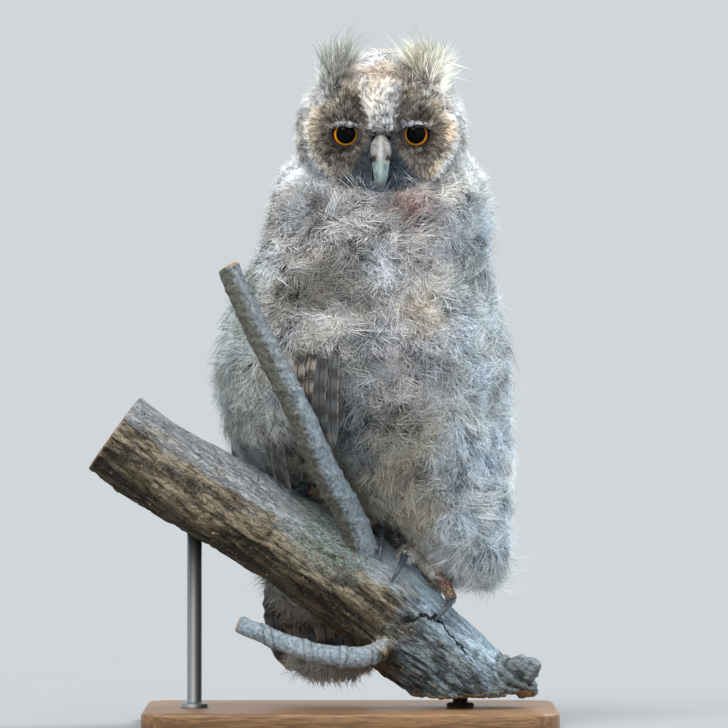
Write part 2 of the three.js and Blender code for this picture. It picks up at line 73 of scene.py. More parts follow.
def unit(rows: Array) -> Array:
    """Returns the rows scaled to length one."""
    return rows / np.maximum(np.linalg.norm(rows, axis=-1, keepdims=True), 1e-12)


def dot(a: Array, b: Array) -> Array:
    """Returns the dot products of rows, as a column."""
    return np.sum(a * b, axis=-1, keepdims=True)


def along_surface(rows: Array, normals: Array) -> Array:
    """Returns the rows laid flat on surfaces with these normals."""
    return unit(rows - normals * dot(rows, normals))


def fade(value: Array, low: float, high: float) -> Array:
    """Returns a smooth step from 0 at low to 1 at high."""
    share = np.clip((value - low) / (high - low), 0, 1)
    return share * share * (3 - 2 * share)


def hashed(cells: Array, seed: int) -> Array:
    """Returns a repeatable number from 0 to 1 for each row of whole numbers."""
    mixed = cells[:, 0] * 73856093 ^ cells[:, 1] * 19349663 ^ cells[:, 2] * 83492791 ^ (seed * 40503)
    mixed = (mixed ^ (mixed >> 13)) * 1274126177 & 0x7FFFFFFF
    return ((mixed ^ (mixed >> 15)) & 0xFFFF) / 65535


def noise(points: Array, cell: float, seed: int) -> Array:
    """Smooth noise in space.

    Args:
        points: Places, one a row.
        cell: Size of its features.
        seed: Picks one of many such noises.

    Returns:
        A number from -1 to 1 for each place.
    """
    grid = points / cell
    base = np.floor(grid).astype(np.int64)
    part = grid - base
    part = part * part * (3 - 2 * part)
    total = np.zeros(len(points))
    for corner in range(8):
        step = np.array([corner & 1, corner >> 1 & 1, corner >> 2 & 1])
        total += np.prod(np.where(step, part, 1 - part), axis=1) * hashed(base + step, seed)
    return total * 2 - 1


# Meshes


def new_object(name: str, points: Array, faces: Array, smooth: bool = True) -> Piece:
    """Makes a mesh object from arrays.

    Args:
        name: Its name.
        points: Corners, one a row.
        faces: Triangles or quads as rows of corner numbers.
        smooth: Whether it shades smooth.

    Returns:
        The object, linked to the scene.
    """
    mesh = bpy.data.meshes.new(name)
    count, sides = faces.shape
    mesh.vertices.add(len(points))
    mesh.vertices.foreach_set("co", np.ascontiguousarray(points, np.float32).ravel())
    mesh.loops.add(count * sides)
    mesh.loops.foreach_set("vertex_index", np.ascontiguousarray(faces, np.int32).ravel())
    mesh.polygons.add(count)
    mesh.polygons.foreach_set("loop_start", np.arange(0, count * sides, sides, dtype=np.int32))
    mesh.polygons.foreach_set("use_smooth", np.full(count, smooth))
    mesh.update(calc_edges=True)
    made = bpy.data.objects.new(name, mesh)
    bpy.context.scene.collection.objects.link(made)
    return made


def keep_numbers(piece: Piece, name: str, values: Array) -> None:
    """Stores a number or a vector for each corner of a piece, for its material to read."""
    kind = "FLOAT_VECTOR" if values.ndim == 2 else "FLOAT"
    attribute = piece.data.attributes.new(name, kind, "POINT")
    attribute.data.foreach_set("vector" if values.ndim == 2 else "value", values.astype(np.float32).ravel())


def keep_unwrap(piece: Piece, places: Array) -> None:
    """Stores the OFBake map of a piece from one place in the square for each corner."""
    layer = piece.data.uv_layers.new(name="OFBake")
    corners = np.empty(len(piece.data.loops), np.int32)
    piece.data.loops.foreach_get("vertex_index", corners)
    layer.data.foreach_set("uv", places[corners].astype(np.float32).ravel())


def corner_normals(points: Array, faces: Array) -> Array:
    """Returns the smooth normal at each corner of a triangle mesh."""
    a, b, c = (points[faces[:, i]] for i in range(3))
    across = np.cross(b - a, c - a)
    total = np.zeros_like(points)
    for i in range(3):
        for axis in range(3):
            total[:, axis] += np.bincount(faces[:, i], across[:, axis], len(points))
    return unit(total)


def relaxed(values: Array, faces: Array, rounds: int, share: float = 0.5) -> Array:
    """Evens out values over a triangle mesh.

    Args:
        values: One row or number for each corner.
        faces: Triangles.
        rounds: How many times each value moves towards its neighbours'.
        share: How far it moves each time.

    Returns:
        The evened values.
    """
    start = np.concatenate([faces[:, 0], faces[:, 1], faces[:, 2]])
    end = np.concatenate([faces[:, 1], faces[:, 2], faces[:, 0]])
    size = len(values)
    count = np.maximum(np.bincount(start, minlength=size), 1)
    result = values.reshape(size, -1).astype(float).copy()
    for _ in range(rounds):
        for column in range(result.shape[1]):
            mean = np.bincount(start, result[end, column], size) / count
            result[:, column] += share * (mean - result[:, column])
    return result.reshape(values.shape)


def fused(nodes: Sequence[str], voxel: float, swell: float = 0.0) -> Mesh:
    """Fuses copies of CAD nodes into one fine closed mesh.

    Args:
        nodes: Names of the nodes.
        voxel: Size of the new faces.
        swell: How far the copies grow first, which closes the gaps between them.

    Returns:
        Its corners and its triangles.
    """
    gathered = bmesh.new()
    for name in nodes:
        gathered.from_mesh(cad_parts[name].data)
    bmesh.ops.remove_doubles(gathered, verts=gathered.verts, dist=MERGED)
    mesh = bpy.data.meshes.new("gathered")
    gathered.to_mesh(mesh)
    gathered.free()
    copy = bpy.data.objects.new("gathered", mesh)
    bpy.context.scene.collection.objects.link(copy)
    if swell:
        push = copy.modifiers.new("swell", "DISPLACE")
        push.strength = swell
        push.mid_level = 0
    fuse = copy.modifiers.new("fuse", "REMESH")
    fuse.mode = "VOXEL"
    fuse.voxel_size = voxel
    fuse.adaptivity = 0
    done = bpy.data.meshes.new_from_object(copy.evaluated_get(bpy.context.evaluated_depsgraph_get()))
    points = np.empty(len(done.vertices) * 3)
    done.vertices.foreach_get("co", points)
    done.calc_loop_triangles()
    faces = np.empty(len(done.loop_triangles) * 3, np.int32)
    done.loop_triangles.foreach_get("vertices", faces)
    bpy.data.objects.remove(copy)
    for used in (mesh, done):
        bpy.data.meshes.remove(used)
    return points.reshape(-1, 3), faces.reshape(-1, 3)


def grid_faces(rows: int, columns: int, closed: bool) -> Array:
    """Returns the quads of a grid of corners, joined round its columns if closed."""
    around = columns if closed else columns - 1
    row, column = np.meshgrid(np.arange(rows - 1), np.arange(around), indexing="ij")
    row, column = row.ravel(), column.ravel()
    following = (column + 1) % columns
    low, high = row * columns, (row + 1) * columns
    return np.stack([low + column, low + following, high + following, high + column], 1)


class Surface:
    """A triangle mesh that things are laid on."""

    OUTSIDE = 300 * MM  # farther from a centre than any surface here

    def __init__(self, points: Array, faces: Array) -> None:
        """Keeps the mesh, its normals and a tree for casting rays."""
        self.points = points
        self.faces = faces
        self.normals = corner_normals(points, faces)
        self.tree = BVHTree.FromPolygons(points.tolist(), faces.tolist())

    def reach(self, places: Array, ways: Array, missing: float, longest: float) -> Array:
        """Measures how far it is to the surface.

        Args:
            places: Where the rays start.
            ways: Where they go.
            missing: The answer where a ray doesn't meet the surface.
            longest: How far the rays go.

        Returns:
            The length of each ray.
        """
        found = np.full(len(places), missing)
        for i, (place, way) in enumerate(zip(places.tolist(), ways.tolist())):
            hit = self.tree.ray_cast(Vector(place), Vector(way), longest)
            if hit[0] is not None:
                found[i] = hit[3]
        return found

    def at(self, centre: Sequence[float], way: Sequence[float]) -> tuple[Array, Array]:
        """Finds the outermost point from a centre.

        Args:
            centre: A point inside.
            way: The direction outwards.

        Returns:
            The point and its normal.
        """
        outward = Vector(way).normalized()
        start = Vector(centre) + outward * self.OUTSIDE
        place, normal, _, _ = self.tree.ray_cast(start, -outward)
        return np.array(place), np.array(normal)

    def scatter(self, count: int, density: Density, draw: Draw) -> tuple[Array, Array]:
        """Spreads points over the surface.

        Args:
            count: How many.
            density: Gives how dense they are at places.
            draw: Source of random numbers.

        Returns:
            The points and their normals.
        """
        a, b, c = (self.points[self.faces[:, i]] for i in range(3))
        weight = np.linalg.norm(np.cross(b - a, c - a), axis=1) * density((a + b + c) / 3)
        total = np.cumsum(weight)
        picks = (np.arange(count) + draw.random(count)) / count * total[-1]
        face = self.faces[np.searchsorted(total, picks).clip(0, len(total) - 1)]
        u, v = draw.random(count), draw.random(count)
        over = u + v > 1
        u[over], v[over] = 1 - u[over], 1 - v[over]
        share = np.stack([1 - u - v, u, v], 1)[:, :, None]
        return (self.points[face] * share).sum(1), unit((self.normals[face] * share).sum(1))


# Shaders


def paint(code: str) -> tuple[float, float, float, float]:
    """Returns the linear colour of a six-figure sRGB code."""
    channels = [int(code[i : i + 2], 16) / 255 for i in (0, 2, 4)]
    linear = [c / 12.92 if c <= 0.04045 else ((c + 0.055) / 1.055) ** 2.4 for c in channels]
    return (*linear, 1.0)


class Link:
    """A shader socket that arithmetic works on."""

    def __init__(self, shader: "Shader", socket: bpy.types.NodeSocket) -> None:
        """Keeps the socket and the shader it belongs to."""
        self.shader = shader
        self.socket = socket

    def __add__(self, other: "Link | float") -> "Link":
        """Returns the sum."""
        return self.shader.maths("ADD", self, other)

    __radd__ = __add__

    def __sub__(self, other: "Link | float") -> "Link":
        """Returns the difference."""
        return self.shader.maths("SUBTRACT", self, other)

    def __rsub__(self, other: float) -> "Link":
        """Returns the difference from a number."""
        return self.shader.maths("SUBTRACT", other, self)

    def __mul__(self, other: "Link | float") -> "Link":
        """Returns the product."""
        return self.shader.maths("MULTIPLY", self, other)

    __rmul__ = __mul__

    def __truediv__(self, other: "Link | float") -> "Link":
        """Returns the quotient."""
        return self.shader.maths("DIVIDE", self, other)

    def __pow__(self, other: float) -> "Link":
        """Returns the power."""
        return self.shader.maths("POWER", self, other)

    def __abs__(self) -> "Link":
        """Returns the size without its sign."""
        return self.shader.maths("ABSOLUTE", self)

    def part(self, axis: str) -> "Link":
        """Returns one axis of a vector."""
        return self.shader.node("ShaderNodeSeparateXYZ", {}, {0: self}, axis)

    def fade(self, low: float, high: float) -> "Link":
        """Returns a smooth step from 0 at low to 1 at high."""
        settings = {"interpolation_type": "SMOOTHSTEP"}
        flip = low > high
        ends = {1: high, 2: low, 3: 1.0, 4: 0.0} if flip else {1: low, 2: high, 3: 0.0, 4: 1.0}
        return self.shader.node("ShaderNodeMapRange", settings, {0: self, **ends})


class Shader:
    """Builds the nodes of one material."""

    def __init__(self, name: str) -> None:
        """Starts an empty material."""
        self.material = bpy.data.materials.new(name)
        self.material.use_nodes = True
        self.tree = self.material.node_tree
        self.tree.nodes.clear()

    def node(self, kind: str, settings: dict, values: dict, output: int | str = 0) -> Link:
        """Adds one node.

        Args:
            kind: Its type.
            settings: Properties, which are set first.
            values: Numbers or links for its sockets.
            output: The socket that is returned.

        Returns:
            A link to that socket.
        """
        made = self.tree.nodes.new(kind)
        for key, setting in settings.items():
            setattr(made, key, setting)
        for key, value in values.items():
            if isinstance(value, Link):
                self.tree.links.new(value.socket, made.inputs[key])
            else:
                made.inputs[key].default_value = value
        return Link(self, made.outputs[output])

    def maths(self, operation: str, *values: "Link | float") -> Link:
        """Returns the outcome of a Math node."""
        return self.node("ShaderNodeMath", {"operation": operation}, dict(enumerate(values)))

    def mix(self, share: "Link | float", a: "Link | tuple", b: "Link | tuple", blend: str = "MIX") -> Link:
        """Returns colour a passing into b."""
        settings = {"data_type": "RGBA", "blend_type": blend}
        return self.node("ShaderNodeMix", settings, {0: share, 6: a, 7: b}, 2)

    def place(self) -> Link:
        """Returns the place in the object's own space, in millimetres."""
        here = self.node("ShaderNodeTexCoord", {}, {}, "Object")
        return self.stretched(here, (1 / MM, 1 / MM, 1 / MM))

    def stretched(self, place: Link, factors: tuple[float, float, float]) -> Link:
        """Returns a vector scaled along its axes."""
        return self.node("ShaderNodeVectorMath", {"operation": "MULTIPLY"}, {0: place, 1: factors})

    def turned(self, place: Link, angle: float) -> Link:
        """Returns a vector turned about the Y axis."""
        values = {"Vector": place, "Angle": angle}
        return self.node("ShaderNodeVectorRotate", {"rotation_type": "Y_AXIS"}, values)

    def apart(self, place: Link, point: tuple[float, float, float]) -> Link:
        """Returns the distance from a point."""
        values = {0: place, 1: point}
        return self.node("ShaderNodeVectorMath", {"operation": "DISTANCE"}, values, "Value")

    def stored(self, name: str, output: str = "Fac") -> Link:
        """Returns numbers that the mesh keeps under a name."""
        return self.node("ShaderNodeAttribute", {"attribute_name": name}, {}, output)

    def grain(self, place: Link, scale: float, detail: float = 2.0, rough: float = 0.5) -> Link:
        """Returns noise from 0 to 1 with so many features a millimetre."""
        values = {"Vector": place, "Scale": scale, "Detail": detail, "Roughness": rough}
        return self.node("ShaderNodeTexNoise", {}, values, "Fac")

    def cells(self, place: Link, scale: float, feature: str = "F1") -> Link:
        """Returns distances in a pattern of cells."""
        values = {"Vector": place, "Scale": scale}
        return self.node("ShaderNodeTexVoronoi", {"feature": feature}, values, "Distance")

    def warped(self, place: Link, scale: float, amount: float) -> Link:
        """Returns a vector shifted by noise with so many features a millimetre."""
        values = {"Vector": place, "Scale": scale, "Detail": 3.0}
        swirl = self.node("ShaderNodeTexNoise", {}, values, "Color")
        shift = {0: swirl, 1: (amount, amount, amount), 2: place}
        return self.node("ShaderNodeVectorMath", {"operation": "MULTIPLY_ADD"}, shift)

    def bump(self, height: Link, depth: float, strength: float = 1.0) -> Link:
        """Returns a normal from a height and its depth in metres."""
        return self.node("ShaderNodeBump", {}, {"Strength": strength, "Distance": depth, "Height": height})

    def finish(self, **values: "Link | float | tuple") -> Material:
        """Ends the material in a principled surface.

        Args:
            values: Its sockets by name, with _ for a space.

        Returns:
            The material.
        """
        sockets = {key.replace("_", " "): value for key, value in values.items()}
        surface = self.node("ShaderNodeBsdfPrincipled", {}, sockets)
        out = self.tree.nodes.new("ShaderNodeOutputMaterial")
        self.tree.links.new(surface.socket, out.inputs["Surface"])
        return self.material


def dress(piece: Piece, material: Material, slot: str, *nodes: str) -> None:
    """Gives a piece its material and its place in the model.

    Args:
        piece: The piece.
        material: Its finish.
        slot: Not used.
        nodes: CAD nodes that it stands for.
    """
    piece.data.materials.clear()
    piece.data.materials.append(material)
    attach(piece, "root")
    if nodes:
        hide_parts(*nodes)
    LOG.info("%s: %d faces", piece.name, len(piece.data.polygons))


# Landmarks of the owl, from the frame


def middle(node: str) -> Array:
    """Returns the centre of a CAD node's box."""
    low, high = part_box(node)
    return (np.array(low) + np.array(high)) / 2


@dataclass(frozen=True)
class Landmarks:
    """Places that the face and the coat are laid out from."""

    right_eye: Array = field(default_factory=lambda: middle("eye_right"))
    left_eye: Array = field(default_factory=lambda: middle("eye_left"))
    disc_half_width: float = 34 * MM
    disc_up: float = 24 * MM
    disc_down: float = 23.5 * MM
    head_middle: float = 30 * MM
    body_x: float = 10 * MM
    body_y: float = 2 * MM

    @property
    def face(self) -> Array:
        """Returns the point midway between the eyes."""
        return (self.right_eye + self.left_eye) / 2

    @property
    def inside(self) -> Array:
        """Returns a point in the middle of the head."""
        return self.face + np.array([0, self.head_middle, 0])

    @property
    def eye_spread(self) -> float:
        """Returns half the distance between the eyes."""
        return float(self.left_eye[0] - self.right_eye[0]) / 2

    def across(self, points: Array) -> Array:
        """Returns distances from the middle plane of the face."""
        return points[:, 0] - self.face[0]

    def above(self, points: Array) -> Array:
        """Returns heights over the eye line."""
        return points[:, 2] - self.face[2]

    def disc_share(self, points: Array) -> Array:
        """Returns 0 in the middle of the face and 1 at the rim of the discs."""
        high = self.above(points)
        half = np.where(high > 0, self.disc_up, self.disc_down)
        return np.sqrt((self.across(points) / self.disc_half_width) ** 2 + (high / half) ** 2)

    def face_front(self, points: Array) -> Array:
        """Returns 1 on the front of the head and 0 elsewhere."""
        return fade(points[:, 1], -8 * MM, -20 * MM) * fade(points[:, 2], 244 * MM, 250 * MM)

    def in_disc(self, points: Array) -> Array:
        """Returns 1 on the facial discs, fading out at their rim."""
        return fade(self.disc_share(points), 1.12, 0.98) * self.face_front(points)

    def bearing(self, points: Array) -> Array:
        """Returns degrees round the body from the breast to its right."""
        return np.degrees(np.arctan2(self.body_x - points[:, 0], self.body_y - points[:, 1]))


MARKS = Landmarks()


# Plumage colours


@dataclass(frozen=True)
class Tone:
    """Colours of a strand of down, from its root to its tip."""

    root: str
    tip: str


@dataclass(frozen=True)
class Spot:
    """A round marking in millimetres, whole up to its inner radius and gone at its outer one."""

    centre: tuple[float, float, float]
    inner: float
    outer: float


Region = tuple[Link, Tone]


class Plumage:
    """The markings that skin and coat share, with painted light and shade among them."""

    BREAST = Tone("5f5e61", "f0f0f2")
    BELLY = Tone("48433a", "c6c1b2")
    # Partly the down's own grey and partly painted bluish shade on the owl's right side.
    COOL_SHADED_SIDE = Tone("323a39", "dbe5e3")
    LIT_SIDE = Tone("818f9a", "e3edf3")
    BACK = Tone("514c47", "b9b5ad")
    SHOULDER = Tone("2c2a27", "9a958b")
    # Painted shade in creases: along the wing's front edge over the breast and under the head.
    CREASE_SHADE = Tone("2e3235", "8a9296")
    CREAM_BAND = Tone("bdb7af", "fffdf6")
    BUFF_PATCH = Tone("dccdba", "fffbf0")
    CHIN_PINK = Tone("95574b", "eec6b8")
    # Painted shade in the fold between the facial discs and the collar.
    COLLAR_SHADE = Tone("1b1b1d", "64686b")
    HEAD_DOWN = Tone("9da3a3", "ffffff")
    CROWN = Tone("c3bebc", "ffffff")
    TUFTS = Tone("686f75", "f6f8ea")
    FOREHEAD = Tone("b3a396", "fff6ec")
    DISC_SIDE = Tone("3d342b", "e2d2b8")
    DISC = Tone("28231f", "aaa093")
    DISC_LOW = Tone("1f1b19", "7d766e")
    EYE_RING = Tone("211c18", "82776c")
    RIM = Tone("8a7a68", "efe3cf")
    RIM_EDGE = Tone("231e1b", "6d645c")
    BARS = Tone("1a1613", "5a5048")
    LORES = Tone("0e1217", "4d5966")
    WEDGE = Tone("d6cdc5", "fffdf8")
    BROW = Tone("a8a7aa", "f6f6f6")
    TOE_DOWN = Tone("a8a29b", "f4ede6")

    HEAD_BALL = Spot((14.3, -8, 279), 46, 52)
    SHOULDER_SPOT = Spot((-16, -52, 212), 9, 28)
    BUFF_SPOT = Spot((42, -45, 204), 5, 27)
    # Painted shade in the crease of the neck under the head.
    NECK_CREASE_SHADE = Spot((-24, -40, 245), 5, 20)
    PINK_SPOT = Spot((28, -45, 250), 7, 15)
    # Where the painted shade of that fold lies.
    COLLAR_SHADE_SPOTS = (Spot((50, -30, 255), 4, 12), Spot((-19, -30, 257), 3, 10))
    TOE_SPOT = Spot((31, -14, 79), 8, 13)
    # Painted light: a brighter patch on the left flank, where the back light falls.
    FLANK_PAINTED_LIGHT = Spot((62, -12, 110), 20, 70)
    TUFT_SPOTS = (Spot((37, -22, 311), 8, 13), Spot((-9, -22, 310), 8, 13))
    TUFT_FEET = (Spot((-7, -27, 303), 5, 14), Spot((35, -27, 304), 5, 14))

    def __init__(self, shader: Shader, place: Link) -> None:
        """Works out what the masks share at a place, in millimetres."""
        self.shader = shader
        self.place = place
        self.x, self.y, self.z = (place.part(axis) for axis in "XYZ")
        face = MARKS.face / MM
        self.across = abs(self.x - float(face[0]))
        self.above = self.z - float(face[2])
        self.front = self.y.fade(-8, -20)
        self.wander = (shader.grain(place, 0.05, 3.0) - 0.5) * 40
        self.fray = (shader.grain(place, 0.35, 3.0, 0.6) - 0.5) * 6
        self.share = self.disc_share()
        self.head = (self.z + self.wander * 0.1).fade(247, 253) * self.near(self.HEAD_BALL)
        self.facing = self.head * self.front

    def disc_share(self) -> Link:
        """Returns 0 in the middle of the face and 1 at the rim."""
        wide = (self.across / (MARKS.disc_half_width / MM - 3.2)) ** 2
        up = self.shader.maths("MAXIMUM", self.above, 0.0) / (MARKS.disc_up / MM - 2.4)
        down = self.shader.maths("MINIMUM", self.above, 0.0) / (MARKS.disc_down / MM + 2)
        return (wide + up**2 + down**2) ** 0.5

    def near(self, spot: Spot) -> Link:
        """Returns 1 on a spot, fading out round it."""
        return self.shader.apart(self.place, spot.centre).fade(spot.outer, spot.inner)

    def regions(self) -> list[Region]:
        """Returns the masks and tones that are laid over the breast's, in order."""
        shader = self.shader
        knit = shader.cells(self.place, 0.3).fade(0.62, 0.36)
        knit *= shader.grain(self.place, 0.5, 3.0).fade(0.4, 0.6)
        return [*self.on_body(), *self.on_crown(knit), *self.on_face(), *self.on_tufts(knit)]

    def on_body(self) -> list[Region]:
        """Returns the regions of the body, wings, legs and chin, with painted shade and light among them."""
        x, y, z, front, wander, fray = self.x, self.y, self.z, self.front, self.wander, self.fray
        lower = (z + wander * 0.7).fade(168, 138) * y.fade(20, -25) * x.fade(58, 40)
        cool_shade = (x + wander * 0.4).fade(-22, -46) * z.fade(262, 235)
        lit = (x + wander * 0.4).fade(34, 54)
        # Painted shade along the wing's front edge where it lies over the breast.
        wing_edge_shade = abs(x - 4 + wander * 0.3).fade(11, 4) * z.fade(236, 222) * z.fade(116, 130) * front
        rosette = ((x + 43) ** 2 + (z - 142) ** 2) ** 0.5
        back = (y + wander * 0.3).fade(12, 34)
        slant = z - x - 200
        band_ends = (z + fray).fade(164, 173) * (z + fray).fade(205, 197)
        band = abs(slant + wander * 0.06 + fray).fade(14, 7) * band_ends * y.fade(-10, -30)
        return [
            (lower, self.BELLY),
            (self.near(self.BUFF_SPOT), self.BUFF_PATCH),
            (self.near(self.NECK_CREASE_SHADE) * 0.8, self.CREASE_SHADE),
            (back, self.BACK),
            (cool_shade, self.COOL_SHADED_SIDE),
            (lit, self.LIT_SIDE),
            (wing_edge_shade * 0.9, self.CREASE_SHADE),
            (self.near(self.SHOULDER_SPOT) * front, self.SHOULDER),
            (rosette.fade(10, 3) * front * 0.8, self.CREAM_BAND),
            (band, self.CREAM_BAND),
            (self.near(self.PINK_SPOT), self.CHIN_PINK),
            *((self.near(spot), self.COLLAR_SHADE) for spot in self.COLLAR_SHADE_SPOTS),
            (self.near(self.TOE_SPOT), self.TOE_DOWN),
        ]

    def on_crown(self, knit: Link) -> list[Region]:
        """Returns the regions of the crown and the forehead, whose dark flecks are given."""
        wander, across, above = self.wander, self.across, self.above
        crown = (above - 31 + wander * 0.06).fade(-3, 2) * (across + wander * 0.1).fade(18, 12)
        forehead = self.facing * (across + wander * 0.2).fade(27, 17) * above.fade(15, 20) * (1 - crown)
        return [
            (self.head, self.HEAD_DOWN),
            (crown * self.head, self.CROWN),
            (forehead, self.FOREHEAD),
            (forehead * knit * (0.3 + across.fade(4, 12) * 0.45), self.RIM_EDGE),
        ]

    def on_face(self) -> list[Region]:
        """Returns the regions of the facial discs and the wedge between them."""
        shader, share, fray, across, above = self.shader, self.share, self.fray, self.across, self.above
        spread = MARKS.eye_spread / MM
        eye = ((across - spread) ** 2 + above**2) ** 0.5
        on_disc = (share + fray * 0.006).fade(1.03, 0.95) * self.front * self.z.fade(252, 256)
        wedge_half = 5.0 + above.fade(1, 22) * 5.4
        wedge = ((across + fray * 0.2) / wedge_half).fade(1.12, 0.9) * above.fade(-1.5, 1)
        flecks = shader.cells(self.place, 0.8).fade(0.34, 0.2) * above.fade(13, 3) * 0.8
        bars = (across - wedge_half + fray * 0.3).fade(7.5, 4.0) * above.fade(0, 5) * above.fade(21, 14) * 0.9
        under_eye = 7.5 + above.fade(-3, -24) * 10
        lores = ((across + fray * 0.5) / under_eye).fade(1.3, 0.85) * above.fade(1.5, -1)
        arch = 4.7 - (across - spread) ** 2 * 0.035
        brow = abs(above - arch + fray * 0.06).fade(0.75, 0.3) * eye.fade(7.6, 6.5)
        over_eye = above.fade(6, 16) * 0.07
        rim = (abs(share - 0.97 + over_eye + fray * 0.012) - over_eye).fade(0.085, 0.03)
        rim_edge = abs(share - 1.12 + fray * 0.006).fade(0.06, 0.02)
        rim_ends = above.fade(-20, -12) * self.facing
        spots = shader.cells(self.place, 0.55).fade(0.36, 0.24)
        return [
            (on_disc, self.DISC_SIDE),
            (on_disc * (eye + fray * 0.5).fade(19, 12), self.DISC),
            (on_disc * eye.fade(10.5, 7.5), self.EYE_RING),
            (on_disc * above.fade(-3, -10) * 0.9, self.DISC_LOW),
            (rim_edge * rim_ends * 0.45, self.RIM_EDGE),
            (rim * rim_ends * (1 - spots * 0.75) * (1 - self.x.fade(-4, -14) * 0.3), self.RIM),
            (on_disc * bars * (1 - self.x.fade(14, 22) * 0.55), self.BARS),
            (on_disc * lores, self.LORES),
            (self.facing * wedge * share.fade(1.15, 0.95), self.WEDGE),
            (self.facing * wedge * flecks, self.LORES),
            (on_disc * brow, self.BROW),
        ]

    def on_tufts(self, knit: Link) -> list[Region]:
        """Returns the regions of the ear tufts and of the dark flecks at their feet."""
        feet = self.near(self.TUFT_FEET[0]) + self.near(self.TUFT_FEET[1])
        tufts = [(self.near(spot), self.TUFTS) for spot in self.TUFT_SPOTS]
        return [*tufts, (feet * knit * 0.8, self.RIM_EDGE)]

    def colour(self, along: Link | float, tint: Link | float) -> Link:
        """Works out the colour of down.

        Args:
            along: 0 at the root of a strand and 1 at its tip.
            tint: A number from 0 to 1 that differs from strand to strand.

        Returns:
            The colour.
        """
        shader = self.shader
        root, tip = (paint(code) for code in (self.BREAST.root, self.BREAST.tip))
        for mask, tone in self.regions():
            root = shader.mix(mask, root, paint(tone.root))
            tip = shader.mix(mask, tip, paint(tone.tip))
        patches = shader.grain(self.place, 0.14, 3.0, 0.6)
        fleck = shader.grain(self.place, 0.8, 2.0, 0.6)
        bars = shader.grain(shader.stretched(self.place, (0.12, 0.12, 0.5)), 1.0, 2.0)
        broad = shader.grain(self.place, 0.045, 3.0, 0.6)
        level = 1 + (broad - 0.5) * 1.3 + (patches - 0.5) * 1.1 + (fleck - 0.5) * 0.9 + (bars - 0.5) * 0.4
        streaky = self.front * self.z.fade(250, 256) * self.share.fade(1.25, 1.0)
        # Its last term brightens the left flank: painted light.
        level += (tint - 0.5) * (1.0 + streaky) + self.near(self.FLANK_PAINTED_LIGHT) * 0.3
        # Painted light: the facial discs brighten towards the owl's left, the side the light comes from.
        level += streaky * (self.x - float(MARKS.face[0] / MM)) * 0.005
        level += self.across.fade(31, 42) * self.z.fade(252, 260) * self.y.fade(20, -5) * 0.25
        share = along
        if isinstance(along, Link):
            share = (along + (tint - 0.5) * 0.5).fade(0.12, 0.95)
        mixed = shader.mix(share, root, tip)
        grey = shader.node("ShaderNodeCombineColor", {}, {0: level, 1: level, 2: level})
        hue = shader.grain(shader.stretched(self.place, (1.0, 1.0, 0.8)), 0.06, 2.0).fade(0.38, 0.62)
        cast = shader.mix(hue, (0.95, 0.985, 1.045, 1.0), (1.05, 1.0, 0.945, 1.0))
        return shader.mix(1.0, shader.mix(1.0, mixed, grey, "MULTIPLY"), cast, "MULTIPLY")


@dataclass(frozen=True)
class DownFinish:
    """The finish of the coat's strands."""

    roughness: float = 0.72
    sheen: float = 0.25

    def material(self) -> Material:
        """Returns the material."""
        shader = Shader("down")
        root = shader.stretched(shader.stored("rooted", "Vector"), (1 / MM, 1 / MM, 1 / MM))
        colour = Plumage(shader, root).colour(shader.stored("along"), shader.stored("tint"))
        return shader.finish(Base_Color=colour, Roughness=self.roughness, Sheen_Weight=self.sheen, IOR=1.4)


@dataclass(frozen=True)
class SkinFinish:
    """The finish of the skin under the coat."""

    roughness: float = 0.9

    def material(self) -> Material:
        """Returns the material."""
        shader = Shader("skin_down")
        place = shader.place()
        colour = Plumage(shader, place).colour(0.22, shader.grain(place, 1.4))
        normal = shader.bump(shader.grain(place, 1.1, 3.0), 0.8 * MM)
        return shader.finish(Base_Color=colour, Roughness=self.roughness, Normal=normal)


# The coat


@dataclass(frozen=True)
class Habit:
    """How the strands of one kind of tuft grow.

    A tuft has so many strands, whose roots spread this far and lie this deep under the skin. A strand turns
    from the lie by fan, and with its whole tuft by stray. It rises by spring more or less, bends by curl and
    droop, swings by wave, and has corners at the stations. Strands within a lock bend alike. Shades are the
    colours' places at root and tip, and marked is how much tufts differ in tint.
    """

    strands: int = 9
    spread: float = 0.9 * MM
    fan: float = 0.6
    curl: float = 0.3
    droop: float = 0.4
    width: float = 0.4 * MM
    stations: tuple[float, ...] = (0.0, 0.55)
    roll: float = 1.2
    ragged: float = 0.25
    sunk: float = 0.6 * MM
    wave: float = 0.0
    spring: float = 0.16
    stray: float = 0.35
    shades: tuple[float, float] = (0.0, 0.75)
    lock: float = 7 * MM
    marked: float = 0.2


@dataclass
class Bed:
    """Roots of tufts and how each lies."""

    roots: Array
    normals: Array
    lies: Array
    lengths: Array
    rises: Array

    def pick(self, chosen: Array) -> "Bed":
        """Returns the chosen ones."""
        rows = (self.roots, self.normals, self.lies, self.lengths, self.rises)
        return Bed(*(row[chosen] for row in rows))


def unwrap_round(points: Array, centre: Array, tall: bool) -> Array:
    """Unwraps places round an upright axis.

    Args:
        points: The places.
        centre: A point on the axis.
        tall: Whether heights count as they are, as on the body, or as angles from the centre, as on the head.

    Returns:
        A place in the unit square for each.
    """
    away = points - centre
    turn = np.arctan2(away[:, 0], -away[:, 1])
    rise = away[:, 2] if tall else np.arctan2(away[:, 2], np.hypot(away[:, 0], away[:, 1]))
    if np.ptp(turn) > 1.9 * math.pi and np.abs(turn).min() > 0.5:
        turn = np.mod(turn, 2 * math.pi)
    square = np.stack([turn, rise], 1)
    low, high = square.min(0), square.max(0)
    return 0.01 + 0.98 * (square - low) / np.maximum(high - low, 1e-9)


